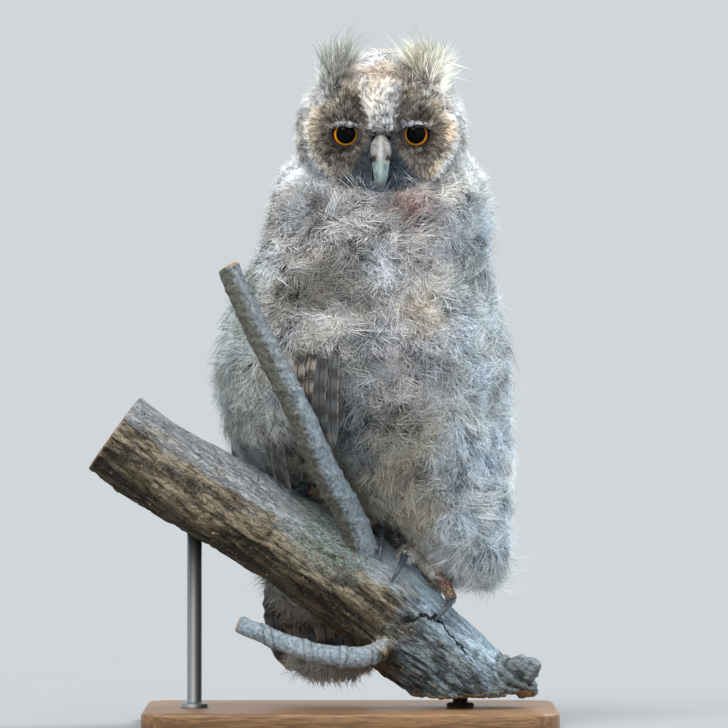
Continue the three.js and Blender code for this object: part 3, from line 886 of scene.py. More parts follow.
def blades(bed: Bed, habit: Habit, places: Array, draw: Draw) -> dict[str, Array]:
    """Grows tufts of down as thin blades.

    Args:
        bed: Roots of the tufts.
        habit: How they grow.
        places: Where each root lies on the unwrapped skin.
        draw: Source of random numbers.

    Returns:
        Their corners and triangles, and what is kept at each corner.
    """
    count = len(bed.roots) * habit.strands

    def each(rows: Array) -> Array:
        """Returns the tufts' rows repeated for each strand."""
        return np.repeat(rows, habit.strands, axis=0)

    normal, lie = each(bed.normals), each(bed.lies)
    side = np.cross(normal, lie)
    slot = draw.uniform(-1, 1, (count, 2))
    start = each(bed.roots) + (side * slot[:, :1] + lie * slot[:, 1:]) * habit.spread - normal * habit.sunk
    shared = each(draw.normal(0, 1, (len(bed.roots), 4)))
    locks = each(np.stack([noise(bed.roots, habit.lock, seed) for seed in (15, 16)], 1))
    turn = draw.normal(0, habit.fan, (count, 1)) + slot[:, :1] * habit.fan + shared[:, :1] * habit.stray
    heading = lie * np.cos(turn) + side * np.sin(turn)
    rise = np.clip(each(bed.rises)[:, None] + draw.normal(0, habit.spring, (count, 1)), 0.08, 1.45)
    out = heading * np.cos(rise) + normal * np.sin(rise)
    swerve = 0.35 * draw.normal(0, 1, (count, 1)) + 0.6 * shared[:, 1:2] + 1.6 * locks[:, :1]
    bend = side * swerve * habit.curl - normal * np.sin(rise) * habit.droop
    phase = draw.normal(0, 0.45, (count, 1)) + 0.8 * shared[:, 2:3] + 6 * locks[:, 1:]
    length = (each(bed.lengths) * (1 + habit.ragged * draw.uniform(-1, 0.5, count)))[:, None]
    roll = draw.uniform(-habit.roll, habit.roll, (count, 1))
    tint = 0.5 + habit.marked * shared[:, 3] + 0.25 * locks[:, 1] + 0.15 * draw.normal(size=count)
    stations = len(habit.stations)
    corner = 2 * stations + 1
    points = np.empty((count, corner, 3))
    facing = np.empty_like(points)
    along = np.empty((count, corner))
    for i, share in enumerate([*habit.stations, 1.0]):
        spin = phase + WAVES * share
        swing = side * (np.sin(spin) - np.sin(phase)) + normal * 0.5 * (np.cos(spin) - np.cos(phase))
        line = start + length * (share * out + share**2 * bend + habit.wave * swing)
        lean = side * np.cos(spin) - normal * 0.5 * np.sin(spin)
        way = unit(out + 2 * share * bend + WAVES * habit.wave * lean)
        flat = unit(np.cross(way, normal))
        edge = flat * np.cos(roll) + np.cross(way, flat) * np.sin(roll)
        face = unit(0.75 * normal + 0.25 * np.cross(edge, way))
        half = habit.width * (1 - 0.25 * share) / 2
        last = i == stations
        for j, sign in enumerate([0] if last else [-1, 1]):
            points[:, 2 * i + j] = line + sign * edge * half
            facing[:, 2 * i + j] = face
            along[:, 2 * i + j] = share
    pattern = [[2 * j, 2 * j + 1, 2 * j + 2] for j in range(stations)]
    pattern += [[2 * j + 1, 2 * j + 3, 2 * j + 2] for j in range(stations - 1)]
    faces = (np.arange(count)[:, None, None] * corner + np.array(pattern)).reshape(-1, 3)
    in_patch = np.stack([np.repeat(slot[:, 0] * 0.5, corner), along.ravel() - 0.5], 1)
    low, high = habit.shades
    return {
        "points": points.reshape(-1, 3),
        "faces": faces,
        "facing": facing.reshape(-1, 3),
        "along": low + (high - low) * along.ravel(),
        "tint": np.repeat(np.clip(tint, 0, 1), corner),
        "rooted": np.repeat(each(bed.roots), corner, axis=0),
        "unwrap": np.repeat(each(places), corner, axis=0) + in_patch * PATCH,
    }


def grow(name: str, layers: Sequence[tuple[Bed, Habit]], centre: Array, tall: bool, seed: int) -> Piece:
    """Grows layers of tufts as one mesh.

    Args:
        name: The piece's name.
        layers: Roots and habit of each layer.
        centre: A point on the axis that the skin is unwrapped round.
        tall: Whether it is unwrapped by height, as on the body, or by angle, as on the head.
        seed: Of the random draw.

    Returns:
        The mesh object.
    """
    draw = np.random.default_rng(seed)
    places = unwrap_round(np.concatenate([bed.roots for bed, _ in layers]), centre, tall)
    ends = np.cumsum([len(bed.roots) for bed, _ in layers])[:-1]
    grown = [blades(bed, habit, part, draw) for (bed, habit), part in zip(layers, np.split(places, ends))]
    starts = np.cumsum([0] + [len(blade["points"]) for blade in grown])
    faces = np.concatenate([blade["faces"] + start for blade, start in zip(grown, starts)])
    whole = {key: np.concatenate([blade[key] for blade in grown]) for key in grown[0] if key != "faces"}
    piece = new_object(name, whole["points"], faces)
    for key in ("along", "tint", "rooted"):
        keep_numbers(piece, key, whole[key])
    keep_unwrap(piece, whole["unwrap"])
    piece.data.normals_split_custom_set_from_vertices(whole["facing"].astype(np.float32))
    return piece


@dataclass
class Window:
    """A part of the wing that the down leaves open, where the flight feathers show."""

    bearing: float
    half: float
    low: float
    high: float
    edge: float = 4 * MM
    edge_turn: float = 4

    def openness(self, points: Array) -> Array:
        """Returns 1 in the opening and 0 outside it."""
        turn = np.abs(MARKS.bearing(points) - self.bearing)
        level = points[:, 2]
        over = fade(level, self.low - self.edge, self.low) * fade(level, self.high + self.edge, self.high)
        return fade(turn, self.half + self.edge_turn, self.half) * over


WINDOWS = (
    Window(bearing=24, half=8, low=134 * MM, high=176 * MM),
    Window(bearing=52, half=7, low=112 * MM, high=140 * MM),
    Window(bearing=128, half=9, low=112 * MM, high=140 * MM),
    Window(bearing=-128, half=9, low=112 * MM, high=140 * MM),
)

UNDER = Habit(width=0.36 * MM, fan=0.5)
PLUMES = Habit(
    spread=0.42 * MM,
    fan=0.12,
    curl=0.2,
    droop=0.35,
    width=0.22 * MM,
    sunk=0.3 * MM,
    stray=0.22,
    shades=(0.0, 1.05),
    marked=0.34,
)
OVER = Habit(
    strands=12,
    spread=0.7 * MM,
    fan=0.24,
    curl=0.5,
    width=0.18 * MM,
    stations=(0.0, 0.5),
    ragged=0.4,
    wave=0.13,
    spring=0.18,
    stray=0.36,
    shades=(0.15, 1.15),
)


@dataclass
class Coat:
    """Skin and down of the head, neck, body, wings and legs."""

    voxel: float = 1.7 * MM
    outline_voxel: float = 2.2 * MM
    swell: float = 0.3 * MM
    body_depth: float = 5.5 * MM
    head_depth: float = 4.5 * MM
    face_depth: float = 2.4 * MM
    leg_depth: float = 2 * MM
    body_tufts: tuple[int, int] = (13000, 14400)
    body_lengths: tuple[float, float] = (10 * MM, 12.5 * MM)
    head_tufts: tuple[int, int] = (3000, 3000)
    head_lengths: tuple[float, float] = (8 * MM, 9.5 * MM)
    face_tufts: int = 7000
    face_length: float = 5.4 * MM
    head_from: float = 250 * MM
    belt: float = 165 * MM
    flesh: tuple[str, ...] = ("head", "neck", "torso", "leg_right", "leg_left")
    eyes: tuple[str, ...] = ("eye_right", "eye_left")
    wings: tuple[str, ...] = ("wing_right", "wing_left")
    base: Surface = field(init=False)
    outline: Surface = field(init=False)
    skin: Surface = field(init=False)

    def depth(self, points: Array) -> Array:
        """Returns how deep the coat is at places."""
        head = fade(points[:, 2], self.head_from - 8 * MM, self.head_from + 4 * MM)
        deep = self.body_depth + (self.head_depth - self.body_depth) * head
        face = MARKS.in_disc(points)
        legs = fade(points[:, 2], 90 * MM, 78 * MM) * fade(points[:, 1], 12 * MM, 6 * MM)
        deep = deep + (self.face_depth - deep) * face
        return deep + (self.leg_depth - deep) * legs

    def build(self) -> None:
        """Fuses the flesh, finds the outline and lays the skin inside it."""
        points, faces = fused(self.flesh + self.eyes, self.voxel, self.swell)
        points = relaxed(points, faces, 4)
        self.base = Surface(points, faces)
        self.outline = Surface(*fused(self.flesh + self.wings, self.outline_voxel, self.swell))
        back = 1 * MM
        wing_depth = 14 * MM
        starts = points - self.base.normals * back
        over = self.outline.reach(starts, self.base.normals, back, wing_depth) - back
        over = relaxed(np.clip(over, 0, None), faces, 12)
        inset = self.depth(points) - over
        inset = np.where(inset < 0, inset * self.open_wing(points), inset)
        inset = relaxed(inset, faces, 8)
        inner = relaxed(points - self.base.normals * inset[:, None], faces, 6)
        self.skin = Surface(inner, faces)

    def lie(self, points: Array, normals: Array) -> Array:
        """Finds the way that the down lies.

        Args:
            points: Roots.
            normals: The skin's normals there.

        Returns:
            Directions along the skin.
        """
        x, y, z = points.T
        one = np.ones(len(x))
        down = np.stack([(x - MARKS.body_x) * 3, 0.25 + y * 2, -one], 1)
        collar = (fade(z, 226 * MM, 244 * MM) * fade(y, 10 * MM, -15 * MM))[:, None]
        ruffled = np.stack([(x - MARKS.body_x) * 30, -0.3 * one, 0.9 * one], 1)
        down = down * (1 - collar) + ruffled * collar
        head = fade(z, self.head_from - 2 * MM, self.head_from + 8 * MM)[:, None]
        crown = np.stack([(x - MARKS.face[0]) * 14, 0.9 * one, (z - MARKS.face[2]) * 10], 1)
        way = down * (1 - head) + crown * head
        across, above = MARKS.across(points), MARKS.above(points)
        eye = np.where(across[:, None] < 0, MARKS.right_eye, MARKS.left_eye)
        from_eye = unit((points - eye) * [1, 0, 1])
        disc = MARKS.in_disc(points)[:, None]
        way = way * (1 - disc) + from_eye * disc
        centre = fade(np.abs(across), 9 * MM, 5 * MM)[:, None] * disc
        upward = np.stack([across * 30, 0 * one, np.where(above > -1 * MM, 1.0, -0.6)], 1)
        way = way * (1 - centre) + upward * centre
        tousle = np.stack([noise(points, 12 * MM, seed) for seed in (1, 2, 3)], 1)
        tousle += np.stack([noise(points, 5 * MM, seed) for seed in (4, 5, 6)], 1)
        way = unit(way) + tousle * (1.5 - 1.25 * disc)
        return along_surface(way, normals)

    def short_at_toes(self, roots: Array) -> Array:
        """Returns how much of its length down keeps at roots, less by the claws that show."""
        kept = np.ones(len(roots))
        for side in ("right", "left"):
            for claw in Feet.claws[:3]:
                away = np.linalg.norm(roots - middle(f"claw_{side}_{claw}"), axis=1)
                kept *= 0.4 + 0.6 * fade(away, 9 * MM, 20 * MM)
        return np.clip(kept, 0.35, 1)

    def raised(self, roots: Array) -> Array:
        """Returns how much down stands out at roots, more on the sides and on the cream band."""
        x, y, z = roots.T
        sides = fade(x, 42 * MM, 58 * MM) + 0.7 * fade(x, -30 * MM, -48 * MM)
        band = fade(np.abs(z - x - 200 * MM), 12 * MM, 4 * MM) * fade(np.abs(z - 183 * MM), 16 * MM, 10 * MM)
        return sides + band * (y < 0)

    def bed(self, count: int, density: Density, length: float, seed: int) -> Bed:
        """Lays out the roots of tufts.

        Args:
            count: How many.
            density: Where they are.
            length: Of a strand that lies on a coat of full depth.
            seed: Of the random draw.

        Returns:
            The roots and how they lie.
        """
        draw = np.random.default_rng(seed)
        roots, normals = self.skin.scatter(count, density, draw)
        room = self.outline.reach(roots, normals, self.body_depth, 20 * MM)
        depth = np.minimum(room, self.depth(roots) * 1.9)
        lies = self.lie(roots, normals)
        clump = noise(roots, 6 * MM, 7) * (1 - 0.8 * MARKS.in_disc(roots))
        lengths = length * (0.85 + 0.3 * draw.random(count)) * (1 + 0.2 * clump)
        lengths *= self.short_at_toes(roots)
        steep = np.clip(depth / (0.72 * lengths), 0.2, 0.9)
        edge = self.raised(roots)
        rises = np.arcsin(steep) + 0.3 * clump + 0.28 * edge
        return Bed(roots, normals, lies, lengths * (1 + 0.15 * edge), rises)

    def clear_of_eyes(self, points: Array) -> Array:
        """Returns 0 over the eyes and the bill and 1 elsewhere."""
        near = np.minimum(
            np.linalg.norm((points - MARKS.right_eye) * [0.86, 0, 1], axis=1),
            np.linalg.norm((points - MARKS.left_eye) * [0.86, 0, 1], axis=1),
        )
        front = MARKS.face_front(points)
        eyes = fade(near, 5.4 * MM, 6.2 * MM)
        across, above = np.abs(MARKS.across(points)), MARKS.above(points)
        tall = fade(above, 0.5 * MM, -1.5 * MM) * fade(above, -24 * MM, -20 * MM)
        bill = 1 - fade(across, 5.2 * MM, 4.2 * MM) * tall
        return 1 - front * (1 - eyes * bill)

    def open_wing(self, points: Array) -> Array:
        """Returns 0 where flight feathers show and 1 elsewhere."""
        shut = np.ones(len(points))
        for window in WINDOWS:
            shut *= 1 - window.openness(points)
        return shut

    def dress(self) -> None:
        """Makes the skin and the coat's pieces."""
        skin = new_object("skin", self.skin.points, self.skin.faces)
        dress(skin, SkinFinish().material(), "body_down", *self.flesh, *self.wings)
        down = DownFinish().material()
        self.dress_face(down)
        self.dress_head(down)
        self.dress_body(down)

    def dress_face(self, down: Material) -> None:
        """Grows the short plumes of the facial discs."""

        def density(points: Array) -> Array:
            """Returns 1 on the discs, clear of the eyes and the bill."""
            return (MARKS.in_disc(points) > 0.5) * self.clear_of_eyes(points)

        bed = self.bed(self.face_tufts, density, self.face_length, 11)
        dress(grow("coat_face", [(bed, PLUMES)], MARKS.inside, False, 12), down, "face_down")

    def dress_head(self, down: Material) -> None:
        """Grows the down of the crown, cheeks and nape."""

        def density(points: Array) -> Array:
            """Returns 1 on the head around the discs."""
            return (points[:, 2] > self.head_from) * (MARKS.in_disc(points) <= 0.5)

        beds = [self.bed(*sizes) for sizes in self.layers(self.head_tufts, density, self.head_lengths, 21)]
        layers = list(zip(beds, (UNDER, OVER)))
        dress(grow("coat_head", layers, MARKS.inside, False, 23), down, "face_down")

    def dress_body(self, down: Material) -> None:
        """Grows the down of the neck, body, wings and legs, in pieces round the body."""

        def density(points: Array) -> Array:
            """Returns 1 below the head, outside the openings for the feathers."""
            return (points[:, 2] <= self.head_from) * self.open_wing(points)

        beds = [self.bed(*sizes) for sizes in self.layers(self.body_tufts, density, self.body_lengths, 31)]
        axis = np.array([MARKS.body_x, MARKS.body_y, 0])
        sides = {"front": -45, "right": 45, "left": -135, "back": 135}
        for number, (side, first) in enumerate(sides.items()):
            for level, low, high in (("upper", self.belt, 1.0), ("lower", -1.0, self.belt)):
                layers = []
                for bed, habit in zip(beds, (UNDER, OVER)):
                    turn = (MARKS.bearing(bed.roots) + 135) % 360 - 135
                    chosen = (turn >= first) & (turn < first + 90)
                    chosen &= (bed.roots[:, 2] >= low) & (bed.roots[:, 2] < high)
                    layers.append((bed.pick(chosen), habit))
                seed = 40 + 2 * number + (level == "upper")
                piece = grow(f"coat_{side}_{level}", layers, axis, True, seed)
                dress(piece, down, "wing_down" if side in ("right", "left") else "body_down")

    @staticmethod
    def layers(counts: tuple[int, int], density: Density, lengths: tuple[float, float], seed: int) -> list:
        """Returns what bed takes for the lower and the upper layer of down."""
        return [(counts[i], density, lengths[i], seed + i) for i in (0, 1)]


# Eyes and lids


@dataclass(frozen=True)
class EyeFinish:
    """Iris, pupil and wet surface of the eyes, with radii in millimetres."""

    pupil: float = 4.55
    iris: float = 5.8
    inner: str = "f0a41e"
    outer: str = "c9650c"

    def material(self, eye: Array) -> Material:
        """Returns the material of one eye, whose centre is given."""
        shader = Shader("eye")
        place = shader.place()
        x = place.part("X") - float(eye[0] / MM)
        z = place.part("Z") - float(eye[2] / MM)
        away = (x**2 + z**2) ** 0.5
        angle = shader.maths("ARCTAN2", z, x)
        spoke = shader.node("ShaderNodeCombineXYZ", {}, {0: angle * 9, 1: away * 0.9, 2: 0.0})
        fibres = shader.grain(spoke, 1.0, 3.0, 0.6)
        share = away.fade(self.pupil, self.iris)
        iris = shader.mix(share, paint(self.inner), paint(self.outer))
        iris = shader.mix(fibres.fade(0.35, 0.75) * 0.5, iris, paint("7a3a06"))
        # Painted shadow of the upper lid: the iris darkens towards its top.
        iris = shader.mix((z + x * 0.25).fade(-2.4, 2.8) * 0.82, iris, paint("6a3408"))
        iris = shader.mix(away.fade(self.iris - 0.45, self.iris), iris, paint("1a0d04"))
        colour = shader.mix(away.fade(self.pupil + 0.15, self.pupil - 0.12), iris, paint("030303"))
        wet = {"Coat_Weight": 0.22, "Coat_Roughness": 0.03, "Coat_IOR": 1.38, "Specular_IOR_Level": 0.0}
        return shader.finish(Base_Color=colour, Roughness=0.4, **wet)


@dataclass(frozen=True)
class LidFinish:
    """Bare skin of the lids."""

    def material(self) -> Material:
        """Returns the material."""
        shader = Shader("lid")
        place = shader.place()
        edge = shader.stored("outward")
        grain = shader.grain(place, 2.5, 3.0)
        skin = shader.mix(grain, paint("241c19"), paint("4a3d37"))
        colour = shader.mix(edge.fade(0.15, 0.4), paint("0d0a09"), skin)
        normal = shader.bump(shader.grain(shader.stretched(place, (1, 1, 3)), 2.0), 0.3 * MM)
        return shader.finish(Base_Color=colour, Roughness=0.45, Normal=normal)


LASHES = Habit(
    strands=7, spread=0.4 * MM, fan=0.25, curl=0.15, width=0.2 * MM, sunk=0.1 * MM, shades=(0.0, 1.0)
)


@dataclass
class Eyes:
    """Both eyes with their lids."""

    radius: float = 8.4 * MM
    half_width: float = 6.7 * MM
    up: float = 3.7 * MM
    down: float = 5.7 * MM
    outer: float = 8.2 * MM
    lid: float = 0.6 * MM
    hood: float = 0.9 * MM
    plumes: int = 620
    around: int = 64

    def ball(self, centre: Array) -> Mesh:
        """Returns the mesh of an eyeball whose cornea bulges a little."""
        rows, columns = 40, 64
        turn = np.linspace(0.0, math.pi, rows)[:, None]
        angle = np.linspace(0, 2 * math.pi, columns, endpoint=False)[None, :]
        bulge = 1 + 0.05 * np.exp(-((turn / 0.62) ** 4))
        front = -np.cos(turn) * bulge * np.ones_like(angle)
        out = np.stack([np.sin(turn) * np.cos(angle), front, np.sin(turn) * np.sin(angle)], -1)
        return centre + self.radius * out.reshape(-1, 3), grid_faces(rows, columns, True)[:, ::-1]

    def lids(self, centre: Array) -> tuple[Array, Array, Array]:
        """Lofts the lids round the opening.

        Args:
            centre: Of the eyeball.

        Returns:
            Corners, faces and how far outwards each corner is.
        """
        angle = np.linspace(0, 2 * math.pi, self.around, endpoint=False)
        rise = np.sin(angle)
        tall = np.where(rise > 0, self.up, self.down)
        flat = np.where(rise > 0, 0.42, 0.95)
        inner = np.stack([self.half_width * np.cos(angle), tall * np.sign(rise) * np.abs(rise) ** flat], 1)
        outer = self.outer * np.stack([1.1 * np.cos(angle), rise], 1)
        rows, shares = [], []
        for step in (-0.12, *np.linspace(0, 1, 9)):
            edge = inner + (outer - inner) * step
            ball = (self.radius * 1.055) ** 2 - (edge**2).sum(1)
            depth = np.sqrt(np.clip(ball, (1.5 * MM) ** 2, None))
            roll = 0.0 if step < 0 else self.lid * (math.sin(min(step * 4, 1) * math.pi / 2) + 0.5 * step)
            hood = self.hood * np.clip(rise, 0, 1) * math.exp(-(((step - 0.2) / 0.25) ** 2))
            rows.append(np.stack([edge[:, 0], -depth - roll - hood, edge[:, 1]], 1))
            shares.append(np.full(self.around, max(step, 0)))
        return centre + np.concatenate(rows), grid_faces(len(rows), self.around, True), np.concatenate(shares)

    def dress(self) -> None:
        """Makes both eyes and their lids."""
        lid_material = LidFinish().material()
        for side, centre in (("right", MARKS.right_eye), ("left", MARKS.left_eye)):
            ball = new_object(f"eye_{side}_ball", *self.ball(centre))
            dress(ball, EyeFinish().material(centre), "eye", f"eye_{side}")
            points, faces, outward = self.lids(centre)
            lids = new_object(f"eye_{side}_lids", points, faces)
            keep_numbers(lids, "outward", outward)
            dress(lids, lid_material, "face_down")
            self.plumed(side, centre, Surface(points, np.concatenate([faces[:, :3], faces[:, [0, 2, 3]]])))

    def plumed(self, side: str, centre: Array, lids: Surface) -> None:
        """Grows the short plumes that lie over the lids' outer part."""

        def density(points: Array) -> Array:
            """Returns 1 on the lids' outer part, more of it above the eye."""
            away = points - centre
            away[:, 2] *= np.where(away[:, 2] > 0, 1.62, 1.1)
            return fade(np.hypot(away[:, 0] * 0.9, away[:, 2]), 6.4 * MM, 6.9 * MM)

        draw = np.random.default_rng(len(side))
        roots, normals = lids.scatter(self.plumes, density, draw)
        normals = normals * np.where(normals[:, 1:2] > 0, -1, 1)
        outward = (roots - centre) * [1, 0, 1] / self.outer + [0, 0, 0.1]
        above = fade(roots[:, 2] - centre[2], 2 * MM, 4 * MM)
        outward[:, 0] += np.sign(centre[0] - MARKS.face[0]) * 1.2 * above
        lies = along_surface(outward, normals)
        lengths = draw.uniform(2.0, 3.6, len(roots)) * (1 - 0.3 * above) * MM
        bed = Bed(roots, normals, lies, lengths, np.full(len(roots), 0.3))
        piece = grow(f"coat_lid_{side}", [(bed, LASHES)], MARKS.inside, False, len(side) + 90)
        dress(piece, DownFinish().material(), "face_down")


# Bill


@dataclass(frozen=True)
class BillFinish:
    """Cere and horn of the bill."""

    def material(self) -> Material:
        """Returns the material."""
        shader = Shader("bill")
        place = shader.place()
        z = place.part("Z")
        x = abs(place.part("X") - float(MARKS.face[0] / MM))
        mottle = shader.grain(place, 0.6, 3.0)
        cere = shader.mix(mottle.fade(0.35, 0.65), paint("6d6a69"), paint("9a9792"))
        horn = shader.mix(mottle.fade(0.35, 0.65), paint("5a7276"), paint("8aa09b"))
        tip = paint("5d6266")
        colour = shader.mix((z + mottle * 2).fade(265, 269.5), horn, cere)
        # A whitish streak along the ridge: partly the horn's own pale ridge and partly painted highlight.
        ridge = (x + mottle * 1.5).fade(2.6, 0.6)
        colour = shader.mix(ridge * 0.42, colour, paint("c9d3ce"))
        colour = shader.mix(z.fade(260, 255), colour, tip)
        # Painted shade: the nostrils are painted near-black over their shallow pits.
        folded = shader.node("ShaderNodeCombineXYZ", {}, {0: x, 1: 0.0, 2: z * 0.75})
        nostril = shader.apart(folded, (3.4, 0, 201))
        colour = shader.mix(nostril.fade(1.5, 0.9) * place.part("Y").fade(-40, -43), colour, paint("0b0808"))
        dirt = shader.grain(place, 1.6, 4.0, 0.7)
        colour = shader.mix(dirt.fade(0.6, 0.75) * 0.35, colour, paint("4b423c"))
        normal = shader.bump(shader.grain(place, 1.5, 3.0), 0.25 * MM)
        gloss = {"Coat_Weight": 0.25, "Coat_Roughness": 0.2}
        return shader.finish(Base_Color=colour, Roughness=0.42, Normal=normal, **gloss)


@dataclass
class Bill:
    """The hooked bill, in two halves."""

    rows: int = 40
    columns: int = 32
    half_width: float = 4.7 * MM

    def upper(self) -> Mesh:
        """Returns the mesh of the upper half with its cere and nostrils."""
        low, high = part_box("bill_upper")
        root = float(high[1])
        reach = root - float(low[1])
        top, tip = float(high[2]), float(low[2])
        share = np.linspace(0, 1, self.rows)[:, None]
        angle = np.linspace(0, 2 * math.pi, self.columns, endpoint=False)[None, :]
        tall = top - tip
        stops = [0, 0.25, 0.5, 0.75, 0.9, 1]
        line_y = root - reach * np.interp(share, stops, [0.12, 0.5, 0.74, 0.86, 0.85, 0.78])
        line_z = top - tall * np.interp(share, stops, [0.22, 0.3, 0.5, 0.75, 0.92, 1.0])
        widths = ([0, 0.2, 0.35, 0.55, 0.8, 0.93, 1], [0.72, 0.96, 1, 0.9, 0.68, 0.4, 0.05])
        depths = ([0, 0.2, 0.4, 0.6, 0.85, 1], [0.9, 0.9, 0.8, 0.62, 0.36, 0.03])
        wide = self.half_width * np.interp(share, *widths)
        deep = self.half_width * np.interp(share, *depths)
        cere = 1 + 0.06 * fade(share, 0.47, 0.42)
        ridge = np.sign(np.cos(angle)) * np.abs(np.cos(angle)) ** 1.15
        x = wide * ridge * cere
        lift = deep * np.sin(angle) * cere
        slope_y = np.gradient(line_y[:, 0])[:, None]
        slope_z = np.gradient(line_z[:, 0])[:, None]
        size = np.hypot(slope_y, slope_z)
        y = line_y + lift * slope_z / size
        z = line_z - lift * slope_y / size
        pit = np.exp(-(((np.abs(x) - 3.5 * MM) / (1.1 * MM)) ** 2) - ((z - 268 * MM) / (1.4 * MM)) ** 2)
        front = (lift > 0) * pit * 1.3 * MM
        points = np.stack([MARKS.face[0] + x - np.sign(x) * front * 0.5, y + front, z], -1)
        return points.reshape(-1, 3), grid_faces(self.rows, self.columns, True)

    def dress(self) -> None:
        """Makes both halves of the bill."""
        material = BillFinish().material()
        dress(new_object("bill_hook", *self.upper()), material, "bill_horn", "bill_upper")
        points, faces = fused(["bill_lower"], 0.4 * MM)
        dress(new_object("bill_under", relaxed(points, faces, 6), faces), material, "bill_horn", "bill_lower")


# Flight feathers


@dataclass(frozen=True)
class VaneFinish:
    """Barred vanes of wing and tail."""

    name: str = "wing_vanes"
    light: str = "bdb2a5"
    dark: str = "3a3638"
    tip: str = "a5a29e"
    fringe: str = "c5bbae"

    def material(self) -> Material:
        """Returns the material."""
        shader = Shader(self.name)
        place = shader.place()
        along, across, kind = (shader.stored(key) for key in ("along", "across", "kind"))
        wobble = shader.grain(place, 0.5, 3.0) * 0.9
        waves = shader.maths("SINE", (along * 5.2 + kind * 2 + wobble * 0.5 + abs(across) * 0.2) * math.tau)
        light = shader.mix(shader.grain(place, 0.9, 3.0), paint(self.light), paint("8c8176"))
        light = shader.mix(kind.fade(0.5, 0.68), light, paint("585d60"))
        colour = shader.mix(waves.fade(-0.9, 0.8), light, paint(self.dark))
        dusk = shader.grain(place, 0.7, 4.0, 0.7).fade(0.45, 0.7)
        colour = shader.mix(dusk * 0.35, colour, paint("5b544d"))
        edge = abs(across).fade(0.8, 1.0) * wobble.fade(0.3, 0.55)
        colour = shader.mix(edge * 0.7, colour, paint(self.fringe))
        barbs = shader.maths("SINE", (abs(across) * 3 + along * 26) * 12)
        colour = shader.mix(barbs.fade(0.2, 1) * 0.28, colour, paint("1f1b19"))
        colour = shader.mix(along.fade(0.86, 0.98) * 0.7, colour, paint(self.tip))
        colour = shader.mix(abs(across).fade(0.11, 0.05), colour, paint("2a2624"))
        normal = shader.bump(barbs, 0.12 * MM)
        return shader.finish(Base_Color=colour, Roughness=0.62, Normal=normal, Sheen_Weight=0.1)


Feather = tuple[Array, Array, dict[str, Array]]


@dataclass
class Vane:
    """One feather as a thin closed blade with a shaft and ragged edges."""

    rows: int = 22
    columns: int = 9
    thickness: float = 0.3 * MM
    shaft: float = 0.35 * MM

    def mesh(self, line: Array, outward: Array, half: float, kind: float, draw: Draw) -> Feather:
        """Builds the feather.

        Args:
            line: Root, middle and tip.
            outward: Its outer side's normal at each of them.
            half: Half its width.
            kind: A number from 0 to 1 that differs from feather to feather.
            draw: Source of random numbers.

        Returns:
            Corners, quads and the numbers that its material reads.
        """
        rows, columns = self.rows, self.columns
        share = np.linspace(0, 1, rows)
        rest = 1 - share
        weights = np.stack([rest * (rest - share), 4 * share * rest, share * (share - rest)], 1)
        centre = weights @ line
        out = unit(weights @ outward)
        way = unit(np.gradient(centre, axis=0))
        side = unit(np.cross(way, out))
        swell = 0.34 + 0.66 * np.sin(np.pi * np.clip(0.08 + share * 0.84, 0, 1)) ** 0.6
        swell *= np.sqrt(np.clip((1.02 - share) / 0.12, 0, 1))
        across = np.linspace(-1, 1, columns)
        notch = 1 - 0.3 * draw.random((rows, 2)) ** 3
        edge = np.where(across[None, :] < 0, notch[:, :1], notch[:, 1:])
        reach = (half * swell[:, None] * across[None, :] * edge)[..., None]
        slant = (np.abs(across) * half * 0.55)[None, :, None]
        top = centre[:, None] + side[:, None] * reach + way[:, None] * slant
        top = top - out[:, None] * 0.16 * np.abs(reach)
        shaft = self.shaft * np.exp(-((across / 0.13) ** 2))[None, :, None] * (1.1 - share)[:, None, None]
        top = top + out[:, None] * shaft
        under = top - out[:, None] * (self.thickness + shaft)
        upper = grid_faces(rows, columns, False)
        lower = upper[:, ::-1] + rows * columns
        grid = np.arange(rows * columns).reshape(rows, columns)
        rim = np.concatenate([grid[0], grid[1:, -1], grid[-1, -2::-1], grid[-2:0:-1, 0]])
        following = np.roll(rim, -1)
        edges = np.stack([following, rim, rim + rows * columns, following + rows * columns], 1)
        numbers = {
            "along": np.tile(np.repeat(share, columns), 2),
            "across": np.tile(np.tile(across, rows), 2),
            "kind": np.full(rows * columns * 2, kind),
        }
        points = np.concatenate([top.reshape(-1, 3), under.reshape(-1, 3)])
        return points, np.concatenate([upper, lower, edges]), numbers


def feather_piece(name: str, feathers: list[Feather]) -> Piece:
    """Joins feathers into one mesh object."""
    offset = np.cumsum([0] + [len(points) for points, _, _ in feathers])
    points = np.concatenate([points for points, _, _ in feathers])
    faces = np.concatenate([faces + start for (_, faces, _), start in zip(feathers, offset)])
    piece = new_object(name, points, faces)
    for key in feathers[0][2]:
        keep_numbers(piece, key, np.concatenate([numbers[key] for _, _, numbers in feathers]))
    return piece


@dataclass(frozen=True)
class Tier:
    """A row of flight feathers laid over the side of the body.

    Its bearings are the first and the last feather's, and the tips drift on from them. Roots and tips are
    heights, and stand is how far root, middle and tip stand off the body. Kinds shade the first and last one.
    """

    count: int
    bearings: tuple[float, float]
    roots: float
    tips: float
    stand: tuple[float, float, float]
    drift: float
    half: float = 3.6 * MM
    kinds: tuple[float, float] = (0.9, 0.2)


